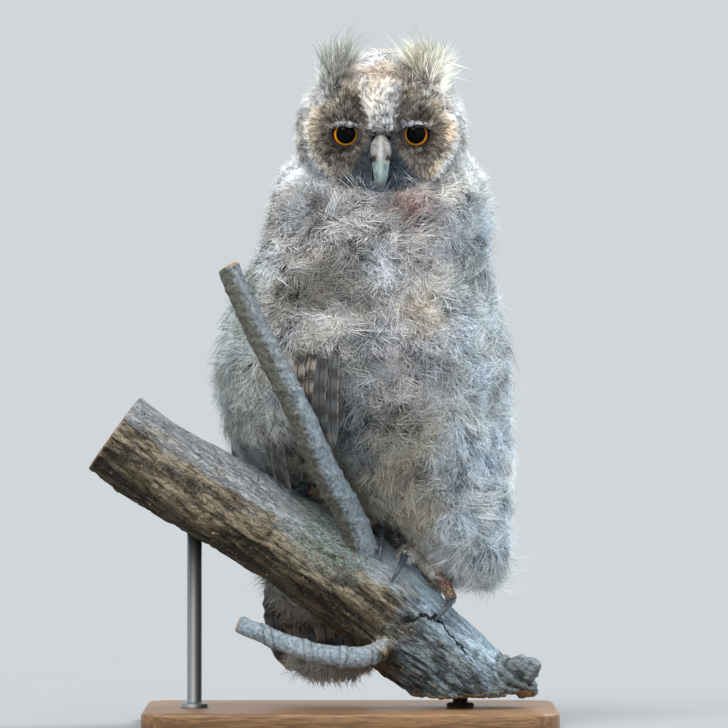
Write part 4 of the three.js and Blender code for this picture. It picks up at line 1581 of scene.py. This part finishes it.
@dataclass
class Wings:
    """Flight feathers of both wings, in their tiers."""

    right: tuple[Tier, ...] = (
        Tier(3, (44, 53), 150 * MM, 110 * MM, (-3 * MM, 7 * MM, 15 * MM), 15, 3.4 * MM, (1.0, 0.7)),
        Tier(4, (16, 29), 188 * MM, 131 * MM, (-4 * MM, 2.5 * MM, 4.5 * MM), 1, 3.8 * MM),
        Tier(7, (117, 138), 150 * MM, 104 * MM, (-3 * MM, 3.5 * MM, 4.5 * MM), -6),
        Tier(5, (116, 135), 166 * MM, 122 * MM, (-3 * MM, 4.5 * MM, 5.5 * MM), -4, 3.8 * MM),
    )
    left: tuple[Tier, ...] = (
        Tier(7, (-117, -138), 150 * MM, 104 * MM, (-3 * MM, 3.5 * MM, 4 * MM), 6),
        Tier(5, (-116, -135), 166 * MM, 122 * MM, (-3 * MM, 4.5 * MM, 5 * MM), 4, 3.8 * MM),
    )

    def tier(self, tier: Tier, body: Surface, draw: Draw) -> list[Feather]:
        """Lays out one tier.

        Args:
            tier: Its sizes.
            body: The surface that it lies over.
            draw: Source of random numbers.

        Returns:
            Its feathers.
        """
        made = []
        for i, share in enumerate(np.linspace(0, 1, tier.count)):
            bearing = np.interp(share, (0, 1), tier.bearings)
            tip = tier.tips + (7 * abs(share - 0.4) + 3 * draw.random()) * MM
            heights = (tier.roots, (tier.roots + tip) / 2, tip)
            turns = (bearing, bearing + tier.drift * 0.4, bearing + tier.drift)
            line, out = [], []
            for height, turn, stand in zip(heights, turns, tier.stand):
                way = (-math.sin(math.radians(turn)), -math.cos(math.radians(turn)), 0)
                place, _ = body.at((MARKS.body_x, MARKS.body_y, height), way)
                line.append(place + np.array(way) * (stand + (i % 2) * 0.8 * MM))
                out.append(way)
            half = tier.half * draw.uniform(0.9, 1.1)
            kind = np.interp(share, (0, 1), tier.kinds) + 0.1 * draw.random()
            made.append(Vane().mesh(np.array(line), np.array(out), half, kind, draw))
        return made

    def dress(self, coat: Coat) -> None:
        """Makes the flight feathers of both wings."""
        material = VaneFinish().material()
        for side, tiers in (("right", self.right), ("left", self.left)):
            draw = np.random.default_rng(len(side))
            feathers = [feather for tier in tiers for feather in self.tier(tier, coat.base, draw)]
            dress(feather_piece(f"wing_{side}_feathers", feathers), material, "wing_down")


@dataclass
class Tail:
    """Tail feathers hanging behind the perch, with down over their roots."""

    root: tuple[float, float, float] = (-18 * MM, 33 * MM, 84 * MM)
    tip: tuple[float, float, float] = (-9 * MM, 29 * MM, 20.5 * MM)
    halves: tuple[float, float, float] = (14 * MM, 24 * MM, 20 * MM)
    vane_half: float = 5.4 * MM
    feathers: int = 13
    core: tuple[float, float, float] = (22 * MM, 6 * MM, 26 * MM)
    core_middle: tuple[float, float, float] = (-16 * MM, 34 * MM, 76 * MM)
    tufts: int = 2400
    frays: int = 260

    def vanes(self) -> list[Feather]:
        """Returns the feathers of the fan."""
        draw = np.random.default_rng(61)
        root, tip = np.array(self.root), np.array(self.tip)
        made = []
        for i in range(self.feathers):
            spread = 2 * i / (self.feathers - 1) - 1
            layer = (abs(spread) * 3 + (i % 2) * 1.1) * MM
            start = root + [spread * self.halves[0], 0, 0]
            bend = (root + tip) / 2 + [spread * self.halves[1], layer, 0]
            end = tip + [spread * self.halves[2], layer, (6 * spread**2 + 2.5 * draw.random()) * MM]
            out = np.tile([0.2 * spread, -1.0, 0.0], (3, 1))
            made.append(Vane().mesh(np.array([start, bend, end]), out, self.vane_half, draw.random(), draw))
        return made

    def surface(self) -> Surface:
        """Returns the hidden core that the coverts grow on."""
        rows, columns = 24, 36
        turn = np.linspace(0.05, math.pi - 0.05, rows)[:, None]
        angle = np.linspace(0, 2 * math.pi, columns, endpoint=False)[None, :]
        level = np.cos(turn) * np.ones_like(angle)
        ball = np.stack([np.sin(turn) * np.cos(angle), np.sin(turn) * np.sin(angle), level], -1)
        points = ball.reshape(-1, 3) * self.core + np.array(self.core_middle)
        quads = grid_faces(rows, columns, True)[:, ::-1]
        faces = np.concatenate([quads[:, [0, 1, 2]], quads[:, [0, 2, 3]]])
        return Surface(points, faces)

    def dress(self) -> None:
        """Makes the tail."""
        piece = feather_piece("tail_feathers", self.vanes())
        # The tail's vanes are darker than the wing's: partly their own colour and partly painted shade under
        # the perch.
        finish = VaneFinish("tail_vanes", light="786d61", dark="28241f", tip="b3afa8")
        dress(piece, finish.material(), "tail_feathers", "tail")
        core = self.surface()
        dress(new_object("tail_core", core.points, core.faces), SkinFinish().material(), "body_down")
        draw = np.random.default_rng(62)
        roots, normals = core.scatter(self.tufts, lambda points: points[:, 2] < 84 * MM, draw)
        lies = along_surface(np.array([0, 0.05, -1.0]) + 0.3 * draw.normal(size=(len(roots), 3)), normals)
        lengths = draw.uniform(8, 13, len(roots)) * MM
        bed = Bed(roots, normals, lies, lengths, np.full(len(roots), 0.35))
        axis = core.points.mean(0) * [1, 1, 0]
        wispy = Habit(strands=7, width=0.24 * MM, fan=0.3, shades=(0.4, 1.0))
        layers = [(bed, Habit(shades=(0, 1))), (self.wisps(draw), wispy)]
        dress(grow("coat_tail", layers, axis, True, 63), DownFinish().material(), "body_down")

    def wisps(self, draw: Draw) -> Bed:
        """Returns the roots of the frayed wisps at the feathers' tips."""
        spread = draw.uniform(-1, 1, self.frays)
        rise = 6 * spread**2 + draw.uniform(1, 9, self.frays)
        off = [spread * self.halves[2], (np.abs(spread) * 3 - 0.4) * MM, rise * MM]
        roots = np.array(self.tip) + np.stack(off, 1)
        normals = np.tile([0.0, -1.0, 0.0], (self.frays, 1))
        lies = along_surface(np.array([0, 0, -1.0]) + 0.25 * draw.normal(size=roots.shape), normals)
        return Bed(roots, normals, lies, draw.uniform(4, 8, self.frays) * MM, np.full(self.frays, 0.15))


# Ear tufts


@dataclass
class EarTufts:
    """The two brushes of downy plumes on the crown."""

    tufts: int = 860
    lean: float = 0.2
    tallest: float = 17.5 * MM
    clear: float = 1 * MM
    inward: float = 0.5 * MM
    patch: tuple[float, float] = (6.6 * MM, 7.5 * MM)
    habit: Habit = Habit(
        strands=12,
        spread=0.8 * MM,
        fan=0.3,
        curl=0.55,
        droop=0.1,
        width=0.22 * MM,
        stations=(0.0, 0.4, 0.75),
        roll=1.3,
        ragged=0.75,
        sunk=0.0,
        wave=0.13,
        spring=0.14,
        stray=0.3,
        shades=(0.1, 1.15),
    )

    def dress(self, coat: Coat) -> None:
        """Makes both ear tufts."""
        down = DownFinish().material()
        for side, seed in (("right", 71), ("left", 72)):
            bed = self.bed(side, coat.skin, np.random.default_rng(seed), seed)
            piece = grow(f"ear_tuft_{side}_plumes", [(bed, self.habit)], MARKS.inside, False, seed)
            dress(piece, down, "tuft_plumes", f"ear_tuft_{side}")

    def bed(self, side: str, skin: Surface, draw: Draw, seed: int) -> Bed:
        """Lays out the roots of one ear tuft.

        Args:
            side: The side it is on.
            skin: What it grows on.
            draw: Source of random numbers.
            seed: Of its ruffles.

        Returns:
            The roots and how the plumes stand.
        """
        low, high = (np.array(corner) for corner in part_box(f"ear_tuft_{side}"))
        away = np.sign(low[0] - MARKS.face[0])
        centre = (low + high) / 2 - [self.inward * away, 0, 0]
        wide, deep = self.patch

        def density(points: Array) -> Array:
            """Returns how dense the plumes stand, thinning out from the tuft's middle."""
            share = np.hypot((points[:, 0] - centre[0]) / wide, (points[:, 1] - centre[1]) / deep)
            return fade(share, 1.3, 0.4) * fade(points[:, 2], 292 * MM, 304 * MM) * (points[:, 1] < -8 * MM)

        roots, normals = skin.scatter(self.tufts, density, draw)
        x, y, z = roots.T
        off = (x - centre[0]) / wide
        way = np.stack([off * self.lean + 0.03 * away, (y - centre[1]) / deep * 0.3, np.ones(len(x))], 1)
        ruffle = np.stack([noise(roots, 3.5 * MM, seed + i) for i in range(3)], 1)
        way = unit(way + 0.25 * ruffle + draw.normal(0, 0.1, way.shape))
        tall = np.minimum(high[2] - self.clear - z, self.tallest) * draw.uniform(0.4, 1.02, len(x))
        tall *= (1.04 - 0.42 * np.abs(off) ** 1.5) * (0.5 + 0.5 * fade(z, 295 * MM, 306 * MM))
        tall *= 1 - 0.3 * fade(off * away, 0.2, 1.0)
        rises = np.arcsin(np.clip(dot(way, normals)[:, 0], 0.1, 0.98))
        return Bed(roots, normals, along_surface(way, normals), tall, rises)


# Feet and claws


@dataclass(frozen=True)
class ToeFinish:
    """Scaly skin of the toes."""

    def material(self) -> Material:
        """Returns the material."""
        shader = Shader("toe_skin")
        place = shader.place()
        scutes = shader.cells(shader.turned(place, 0.7), 0.62, "DISTANCE_TO_EDGE")
        mottle = shader.grain(place, 0.35, 3.0)
        skin = shader.mix(mottle.fade(0.35, 0.65), paint("866c5c"), paint("b8a68d"))
        skin = shader.mix(shader.grain(place, 0.22).fade(0.5, 0.62), skin, paint("b4726a"))
        colour = shader.mix(scutes.fade(0.14, 0.02) * 0.75, skin, paint("57423a"))
        normal = shader.bump(scutes.fade(0.0, 0.25), 0.5 * MM)
        return shader.finish(Base_Color=colour, Roughness=0.5, Normal=normal)


@dataclass(frozen=True)
class ClawFinish:
    """Dark blue-grey horn of the claws."""

    def material(self) -> Material:
        """Returns the material."""
        shader = Shader("claw")
        place = shader.place()
        streaks = shader.grain(shader.stretched(place, (2.5, 2.5, 0.5)), 1.2, 3.0)
        colour = shader.mix(streaks, paint("1b2028"), paint("58646f"))
        return shader.finish(Base_Color=colour, Roughness=0.22, Coat_Weight=0.4, Coat_Roughness=0.12)


@dataclass
class Feet:
    """Toes with their scutes, claws, and short down on the first joints."""

    claws: tuple[str, ...] = ("inner", "middle", "outer", "hind")
    downy_joint: tuple[float, float, float] = (31 * MM, -12 * MM, 78 * MM)

    def dress(self) -> None:
        """Makes both feet."""
        toe, horn, down = ToeFinish().material(), ClawFinish().material(), DownFinish().material()
        for side, seed in (("right", 81), ("left", 82)):
            points, faces = fused([f"foot_{side}"], 0.55 * MM)
            points = relaxed(points, faces, 6)
            foot = Surface(points, faces)
            ridges = np.abs(noise(points * [1.0, 0.6, 1.6], 1.9 * MM, seed)) ** 0.5
            points = points + foot.normals * (ridges[:, None] - 0.6) * 0.5 * MM
            dress(new_object(f"foot_{side}_skin", points, faces), toe, "toe_skin", f"foot_{side}")
            for name in self.claws:
                node = f"claw_{side}_{name}"
                shape, net = fused([node], 0.26 * MM, 0.42 * MM)
                dress(new_object(f"{node}_horn", relaxed(shape, net, 3), net), horn, "claw_horn", node)
            self.feathered(side, foot, down, seed)

    def feathered(self, side: str, foot: Surface, down: Material, seed: int) -> None:
        """Grows short pale down on the first joints of the toes."""
        low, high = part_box(f"foot_{side}")
        ankle = np.array([(low[0] + high[0]) / 2, (low[1] + high[1]) / 2, high[2]])

        def density(points: Array) -> Array:
            joint = fade(np.linalg.norm((points - self.downy_joint) * [1, 0.7, 1], axis=1), 12 * MM, 9 * MM)
            return np.maximum(fade(np.linalg.norm(points - ankle, axis=1), 15 * MM, 9 * MM), joint)

        draw = np.random.default_rng(seed)
        roots, normals = foot.scatter(850, density, draw)
        lies = along_surface(unit(roots - ankle) + [0, 0, -0.4], normals)
        bed = Bed(roots, normals, lies, draw.uniform(2.8, 5.2, len(roots)) * MM, np.full(len(roots), 0.6))
        habit = Habit(7, 0.5 * MM, 0.3, 0.2, 0.4, 0.22 * MM, sunk=0.2 * MM, shades=(0.6, 1.6))
        dress(grow(f"coat_foot_{side}", [(bed, habit)], ankle, False, seed + 1), down, "body_down")


# Perch and stand


@dataclass(frozen=True)
class BarkFinish:
    """Bark of the perch, its moss, lichen, flakes and cut ends, with painted light on its upper faces and
    painted shade on its lower ones.
    """

    def rough(self, shader: Shader, cracks: Link, ridge: str, furrow: str) -> Link:
        """Returns bark whose ridges and furrows have these colours."""
        return shader.mix(cracks, paint(furrow), paint(ridge))

    def material(self) -> Material:
        """Returns the material."""
        shader = Shader("bark")
        place = shader.place()
        grown = shader.stored("grown", "Vector")
        x, y, z = (place.part(axis) for axis in "XYZ")
        lie = shader.stretched(grown, (0.22, 1.0, 1.0))
        crack = shader.grain(lie, 0.6, 5.0, 0.68)
        fine = shader.grain(shader.stretched(grown, (0.35, 1.0, 1.0)), 2.0, 4.0, 0.65)
        plates = shader.warped(shader.stretched(grown, (0.26, 1.0, 1.0)), 0.5, 5.0)
        scales = shader.cells(plates, 0.36, "DISTANCE_TO_EDGE")
        broad = shader.grain(place, 0.06, 4.0, 0.6)
        facing = shader.stored("facing")
        relief = shader.stored("relief") + (crack - 0.5) * 1.6
        cracks = relief.fade(-0.75, 0.25) * 0.6 + crack.fade(0.42, 0.56) * 0.2 + fine.fade(0.38, 0.6) * 0.2
        # How far the bark faces up, with noise: the colours that follow it are painted light on the upper
        # faces and painted shade on the lower ones.
        side = facing + (broad - 0.5) * 0.8 + (shader.grain(lie, 0.2, 3.0) - 0.5) * 0.7
        pale = self.rough(shader, cracks * 0.5 + fine.fade(0.3, 0.62) * 0.5, "d6d9de", "4a484b")
        # Painted light: the pale bark lightens towards the owl, against the shade that falls there.
        pale = shader.mix(x.fade(-105, -45) * 0.45 * cracks, pale, paint("e9f2f8"))
        tan = self.rough(shader, cracks, "c2b195", "2a231b")
        dark = self.rough(shader, cracks, "6b6047", "14110e")
        # Pale on top, tan on the sides and dark underneath: painted light and shade.
        colour = shader.mix(side.fade(0.76, 0.34), pale, tan)
        colour = shader.mix(side.fade(0.15, -0.25), colour, dark)
        right = (x + (broad - 0.5) * 50).fade(12, 34)
        green = self.rough(shader, cracks, "9fb6bf", "1b2327")
        blue = self.rough(shader, cracks * 0.8 + 0.2, "cbe6f8", "354859")
        # On the right part, blue on the upper faces and green lower down: painted light.
        colour = shader.mix(right * 0.9, colour, shader.mix(side.fade(0.3, 0.62), green, blue))
        # Dark seams between the plates, stronger on the lower faces as painted shade.
        seams = scales.fade(0.05, 0.0) * (0.8 - side.fade(0.3, 0.8) * 0.4)
        colour = shader.mix(seams, colour, paint("14110e"))
        flakes = shader.grain(place, 0.42, 3.0, 0.7)
        colour = shader.mix(flakes.fade(0.645, 0.675) * side.fade(0.55, 0.3) * 0.85, colour, paint("c4a27c"))
        colour = shader.mix(flakes.fade(0.345, 0.325) * side.fade(0.6, 0.2) * 0.7, colour, paint("8f4f2c"))
        moss = shader.apart(place, (-3, -30, 98)).fade(36, 12)
        moss *= shader.grain(place, 0.4, 5.0, 0.7).fade(0.42, 0.52)
        mossy = shader.mix(fine.fade(0.35, 0.65), paint("4a5c56"), paint("c9dfd3"))
        colour = shader.mix(moss * 0.9, colour, mossy)
        # Painted shade: a near-black line where the bark is split.
        line = 52 - shader.maths("MAXIMUM", x - 41, 0.0) * 1.2 + (shader.grain(place, 0.25, 3.0) - 0.5) * 10
        split = abs(z - line).fade(1.5, 0.4) * x.fade(22, 27) * x.fade(60, 52) * y.fade(-5, -15)
        colour = shader.mix(split, colour, paint("0d0c0b"))
        knot = shader.stored("knot")
        colour = shader.mix(knot * 0.85, colour, self.rough(shader, cracks, "8c9698", "181a1a"))
        shoot = shader.stored("thin")
        skin = shader.grain(place, 0.5, 5.0, 0.7).fade(0.3, 0.7)
        young = shader.mix(skin, paint("3e3d32"), paint("74756a"))
        # The shoot is painted paler and bluer on its side towards the light, lower down and on the twig:
        # painted light, with painted shade on its other side.
        lit = (shader.stored("sunny") + (skin - 0.5) * 0.2 + z.fade(175, 110) * 0.4).fade(0.1, 0.85)
        bright = shader.maths("MAXIMUM", lit * (0.6 + z.fade(190, 120) * 0.4), z.fade(62, 50)) * 0.9
        young = shader.mix(bright, young, shader.mix(skin, paint("78858f"), paint("b9c8d4")))
        specks = shader.cells(place, 0.42).fade(0.22, 0.1)
        young = shader.mix(specks * 0.8, young, paint("2c2925"))
        young = shader.mix(shader.stored("scar") * 0.7, young, paint("3a3531"))
        colour = shader.mix(shoot, colour, young)
        end = shader.stored("sawn")
        rings = shader.maths("SINE", shader.stored("rings") * 5.2 + shader.grain(place, 0.3) * 3)
        wood = shader.mix(rings.fade(-0.4, 0.9) * 0.6, paint("bfa27a"), paint("9c7d57"))
        wood = shader.mix(shader.grain(place, 0.12, 4.0).fade(0.4, 0.7) * 0.5, wood, paint("8a7a66"))
        colour = shader.mix(end, colour, wood)
        height = (crack * 0.8 + fine * 0.35 + scales.fade(0, 0.14) * 0.3) * (1 - shoot * 0.75)
        normal = shader.bump(height, 2.6 * MM, 1.0)
        return shader.finish(Base_Color=colour, Roughness=0.85, Normal=normal)


@dataclass
class Perch:
    """The cut branch with its side shoot and twig."""

    nodes: tuple[str, ...] = ("perch_branch", "perch_shoot", "perch_twig")
    start: tuple[float, float, float] = (-112 * MM, -8 * MM, 139.5 * MM)
    end: tuple[float, float, float] = (55 * MM, -8 * MM, 22 * MM)
    knot: tuple[float, float, float] = (81 * MM, -14 * MM, 27 * MM)
    spur: tuple[float, float, float] = (90 * MM, -16 * MM, 30 * MM)
    voxel: float = 0.9 * MM

    def dress(self) -> None:
        """Makes the branch's bark."""
        points, faces = fused(self.nodes, self.voxel, 0.2 * MM)
        points = relaxed(points, faces, 5)
        lump = fade(np.linalg.norm(points - np.array(self.knot), axis=1), 26 * MM, 17 * MM)[:, None]
        points = points + (relaxed(points, faces, 90) - points) * lump
        bark = Surface(points, faces)
        start, end = np.array(self.start), np.array(self.end)
        axis = unit(end - start)
        away = points - start
        run = away @ axis
        across = away - run[:, None] * axis
        radius = np.linalg.norm(across, axis=1)
        thin = fade(radius, 27 * MM, 31 * MM)
        frame_up = unit(np.cross([0, 1, 0], axis))
        grown = np.stack([run, away[:, 1], away @ frame_up], 1)
        # How far the bark faces up, which the bark's material turns into painted light and shade.
        facing = bark.normals @ unit(np.array([0.15, -0.25, 1.0]))
        coarse = 0.5 + 0.5 * fade(facing, 0.6, 0.1)
        furrow = 1 - np.abs(noise(grown * [0.16, 1, 1], 3.2 * MM, 5)) * 2
        finer = 1 - np.abs(noise(grown * [0.3, 1, 1], 1.6 * MM, 6)) * 2
        plates = np.round(noise(grown * [0.4, 1, 1], 6 * MM, 7) * 2) / 2
        rough = (-1.3 * np.clip(furrow, 0, 1) ** 2 - 0.7 * np.clip(finer, 0, 1) ** 2 + 0.9 * plates) * coarse
        relief = rough / 1.4
        rough += 0.7 * noise(points, 14 * MM, 8)
        gap = np.linalg.norm((points - np.array(self.knot)) * [1, 0.8, 1], axis=1)
        knot = fade(gap, 17 * MM, 12 * MM)
        folds = np.sin(gap / MM * 1.3 + 4 * noise(points, 8 * MM, 12)) + noise(points, 2.6 * MM, 14)
        rough += knot * (1.8 * noise(points, 4.5 * MM, 11) + 0.9 * folds)
        spur = np.linalg.norm(points - np.array(self.spur), axis=1)
        rough += 4.5 * np.exp(-((spur / (2.6 * MM)) ** 2))
        relief += knot * (0.8 * folds - relief)
        twig = points[:, 2] < 62 * MM
        step = np.where(twig, points[:, 0] + 4 * MM, points[:, 2] * 1.4) / MM / 17
        step = step + 0.3 * noise(points, 30 * MM, 13)
        beat = np.abs(step - np.round(step)) * 17
        small = 0.25 * noise(points, 5 * MM, 9) + 0.15 * noise(points, 1.5 * MM, 10)
        small += 0.7 * np.exp(-((beat / 2) ** 2))
        ends = (run < 0.8 * MM) * (radius < 24 * MM)
        shift = (rough * (1 - thin) + small * thin) * (1 - ends) * MM
        piece = new_object("perch_bark", points + bark.normals * shift[:, None], faces)
        numbers = {"facing": facing, "thin": thin, "knot": knot, "grown": grown / MM}
        numbers["rings"] = radius / MM * 0.9
        numbers["relief"] = relief
        numbers["scar"] = np.exp(-(((beat - 1.8) / 0.5) ** 2)) * (thin > 0.5) * twig
        numbers["sunny"] = bark.normals @ unit(np.array([0.75, -0.35, 0.5]))
        numbers["sawn"] = self.sawn(points, bark.normals, axis, ends)
        for key, values in numbers.items():
            keep_numbers(piece, key, values)
        dress(piece, BarkFinish().material(), "bark", *self.nodes)

    def sawn(self, points: Array, normals: Array, axis: Array, ends: Array) -> Array:
        """Returns 1 on the cut ends and 0 on the bark."""
        under = (points[:, 2] < 15.5 * MM) * (normals[:, 2] < -0.6)
        first = ends * (normals @ -axis > 0.7)
        shoot = (points[:, 2] > 214 * MM) * (normals[:, 2] > 0.6)
        twig = (points[:, 0] < -51 * MM) * (points[:, 2] < 56 * MM) * (normals[:, 0] < -0.6)
        return np.clip(under + first + shoot + twig, 0, 1).astype(float)


@dataclass(frozen=True)
class WoodFinish:
    """Oiled wood of the base."""

    def material(self) -> Material:
        """Returns the material."""
        shader = Shader("base_wood")
        place = shader.place()
        stretched = shader.stretched(place, (0.05, 0.6, 0.6))
        rings = shader.maths("SINE", (stretched.part("Y") + shader.grain(stretched, 0.9, 3.0) * 5) * 4)
        pores = shader.grain(shader.stretched(place, (0.2, 3.5, 3.5)), 1.0, 2.0)
        colour = shader.mix(rings.fade(-1, 1), paint("7d5a3a"), paint("9c754d"))
        colour = shader.mix(pores.fade(0.55, 0.7) * 0.6, colour, paint("4e3621"))
        normal = shader.bump(pores, 0.15 * MM)
        gloss = {"Coat_Weight": 0.15, "Coat_Roughness": 0.3}
        return shader.finish(Base_Color=colour, Roughness=0.42, Normal=normal, **gloss)


@dataclass(frozen=True)
class SteelFinish:
    """Brushed steel of the rods."""

    def material(self) -> Material:
        """Returns the material."""
        shader = Shader("rod_steel")
        place = shader.place()
        brush = shader.grain(shader.stretched(place, (1, 1, 14)), 1.0, 2.0)
        colour = shader.mix(brush, paint("9a9ea1"), paint("c7cacc"))
        return shader.finish(Base_Color=colour, Metallic=1.0, Roughness=0.28 + brush * 0.18)


@dataclass
class Stand:
    """Base plate and rods."""

    corner: float = 14 * MM
    round_edge: float = 1.8 * MM
    around: int = 64

    def rod(self, node: str) -> Mesh:
        """Returns a round rod the size of its node, with a collar at its foot."""
        low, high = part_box(node)
        radius = float(high[0] - low[0]) / 2
        x, y = float(low[0] + high[0]) / 2, float(low[1] + high[1]) / 2
        foot, top = float(low[2]), float(high[2])
        wide = radius * 1.9
        profile = [(0, foot), (wide, foot), (wide, foot + 1.6 * MM), (radius * 1.6, foot + 2.2 * MM)]
        profile += [(radius, foot + 2.4 * MM), (radius, top), (0, top)]
        rows = np.array([p for pair in zip(profile, profile) for p in pair])
        angle = np.linspace(0, 2 * math.pi, self.around, endpoint=False)
        ring = np.stack([np.cos(angle), np.sin(angle), np.zeros(self.around)], 1)
        points = [ring * r + [x, y, z] for r, z in rows]
        return np.concatenate(points), grid_faces(len(rows), self.around, True)

    def plate(self) -> Mesh:
        """Returns the base plate with rounded corners and edges."""
        low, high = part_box("stand_base")
        half = np.array([float(high[0] - low[0]), float(high[1] - low[1])]) / 2
        centre = np.array([float(high[0] + low[0]), float(high[1] + low[1])]) / 2
        bottom, top = float(low[2]), float(high[2])
        angle = np.linspace(0, 2 * math.pi, 4 * 24, endpoint=False) + math.pi / 96
        way = np.stack([np.cos(angle), np.sin(angle)], 1)
        corners = np.sign(way) * (half - self.corner)
        steps = [(1 - math.cos(a), math.sin(a)) for a in np.linspace(math.pi / 2, 0, 7)]
        rows = [np.column_stack([np.tile(centre, (len(way), 1)), np.full(len(way), bottom)])]
        for shrink, level in [(self.round_edge, bottom), (0, bottom + 0.6 * MM)]:
            rows.append(self.ring(centre, corners, way, self.corner - shrink * 0.4, level))
        for inward, upward in reversed(steps):
            level = top - self.round_edge + self.round_edge * upward
            rows.append(self.ring(centre, corners, way, self.corner - self.round_edge * inward, level))
        rows.append(np.column_stack([np.tile(centre, (len(way), 1)), np.full(len(way), top)]))
        return np.concatenate(rows), grid_faces(len(rows), len(way), True)

    @staticmethod
    def ring(centre: Array, corners: Array, way: Array, radius: float, level: float) -> Array:
        """Returns one outline of the plate at a height."""
        return np.column_stack([centre + corners + way * radius, np.full(len(way), level)])

    def dress(self) -> None:
        """Makes the stand."""
        plate = new_object("stand_base_plate", *self.plate())
        dress(plate, WoodFinish().material(), "base_wood", "stand_base")
        steel = SteelFinish().material()
        for side in ("left", "right"):
            node = f"stand_rod_{side}"
            dress(new_object(f"{node}_steel", *self.rod(node)), steel, "rod_steel", node)


# Studio


class Mood(Enum):
    """Colours of the studio's lights."""

    KEY = (1.0, 0.985, 0.95)
    FILL = (0.9, 0.95, 1.0)
    RIM = (0.95, 1.0, 0.98)


@dataclass
class Studio:
    """Floor, lights and camera."""

    aim: tuple[float, float, float] = (6.4 * MM, -20 * MM, 172 * MM)
    distance: float = 3.2
    frame_width: float = 0.344
    floor: float = 60.0

    def stage(self) -> None:
        """Lays the pale floor."""
        half = self.floor
        points = np.array([[-half, -half, 0], [half, -half, 0], [half, half, 0], [-half, half, 0]])
        floor = new_object("floor", points, np.array([[0, 1, 2, 3]]))
        shader = Shader("floor")
        grain = shader.grain(shader.place(), 0.01, 2.0)
        colour = shader.mix(grain, paint("999b9e"), paint("9d9fa2"))
        floor.data.materials.append(shader.finish(Base_Color=colour, Roughness=0.9))

    def lamp(
        self, name: str, place: tuple[float, float, float], softness: float, power: float, mood: Mood
    ) -> None:
        """Hangs one wide soft lamp far off, towards a place, that shines at the owl."""
        data = bpy.data.lights.new(name, "SUN")
        data.angle = math.radians(softness)
        data.energy = power
        data.color = mood.value
        lamp = bpy.data.objects.new(name, data)
        lamp.location = place
        way = Vector((0, 0, 0)) - Vector(place)
        lamp.rotation_euler = way.to_track_quat("-Z", "Y").to_euler()
        bpy.context.scene.collection.objects.link(lamp)

    def light(self) -> None:
        """Sets the lamps and the pale surroundings."""
        self.lamp("key", (-0.45, -0.8, 1.25), 35, 2.3, Mood.KEY)
        self.lamp("rim", (0.9, 0.55, 1.1), 25, 2.5, Mood.RIM)
        self.lamp("fill", (0.9, -1.2, 0.35), 60, 0.35, Mood.FILL)
        world = bpy.data.worlds.new("studio")
        world.use_nodes = True
        background = world.node_tree.nodes["Background"]
        background.inputs["Color"].default_value = (0.88, 0.93, 0.97, 1)
        background.inputs["Strength"].default_value = 0.72
        bpy.context.scene.world = world
        bpy.context.scene.view_settings.view_transform = "Standard"

    def camera(self) -> None:
        """Sets the camera level in front of the owl, at the photo's angle."""
        data = bpy.data.cameras.new("camera")
        data.sensor_width = 36
        data.lens = 36 * self.distance / self.frame_width
        camera = bpy.data.objects.new("camera", data)
        camera.location = (self.aim[0], self.aim[1] - self.distance, self.aim[2])
        camera.rotation_euler = (math.pi / 2, 0, 0)
        bpy.context.scene.collection.objects.link(camera)
        bpy.context.scene.camera = camera


def main() -> None:
    """Builds and dresses the owl, its perch and its stand."""
    logging.basicConfig(level=logging.INFO, format="%(message)s")
    coat = Coat()
    coat.build()
    coat.dress()
    Eyes().dress()
    Bill().dress()
    Wings().dress(coat)
    Tail().dress()
    EarTufts().dress(coat)
    Feet().dress()
    Perch().dress()
    Stand().dress()
    studio = Studio()
    studio.stage()
    studio.light()
    studio.camera()


if __name__ == "__main__":
    main()
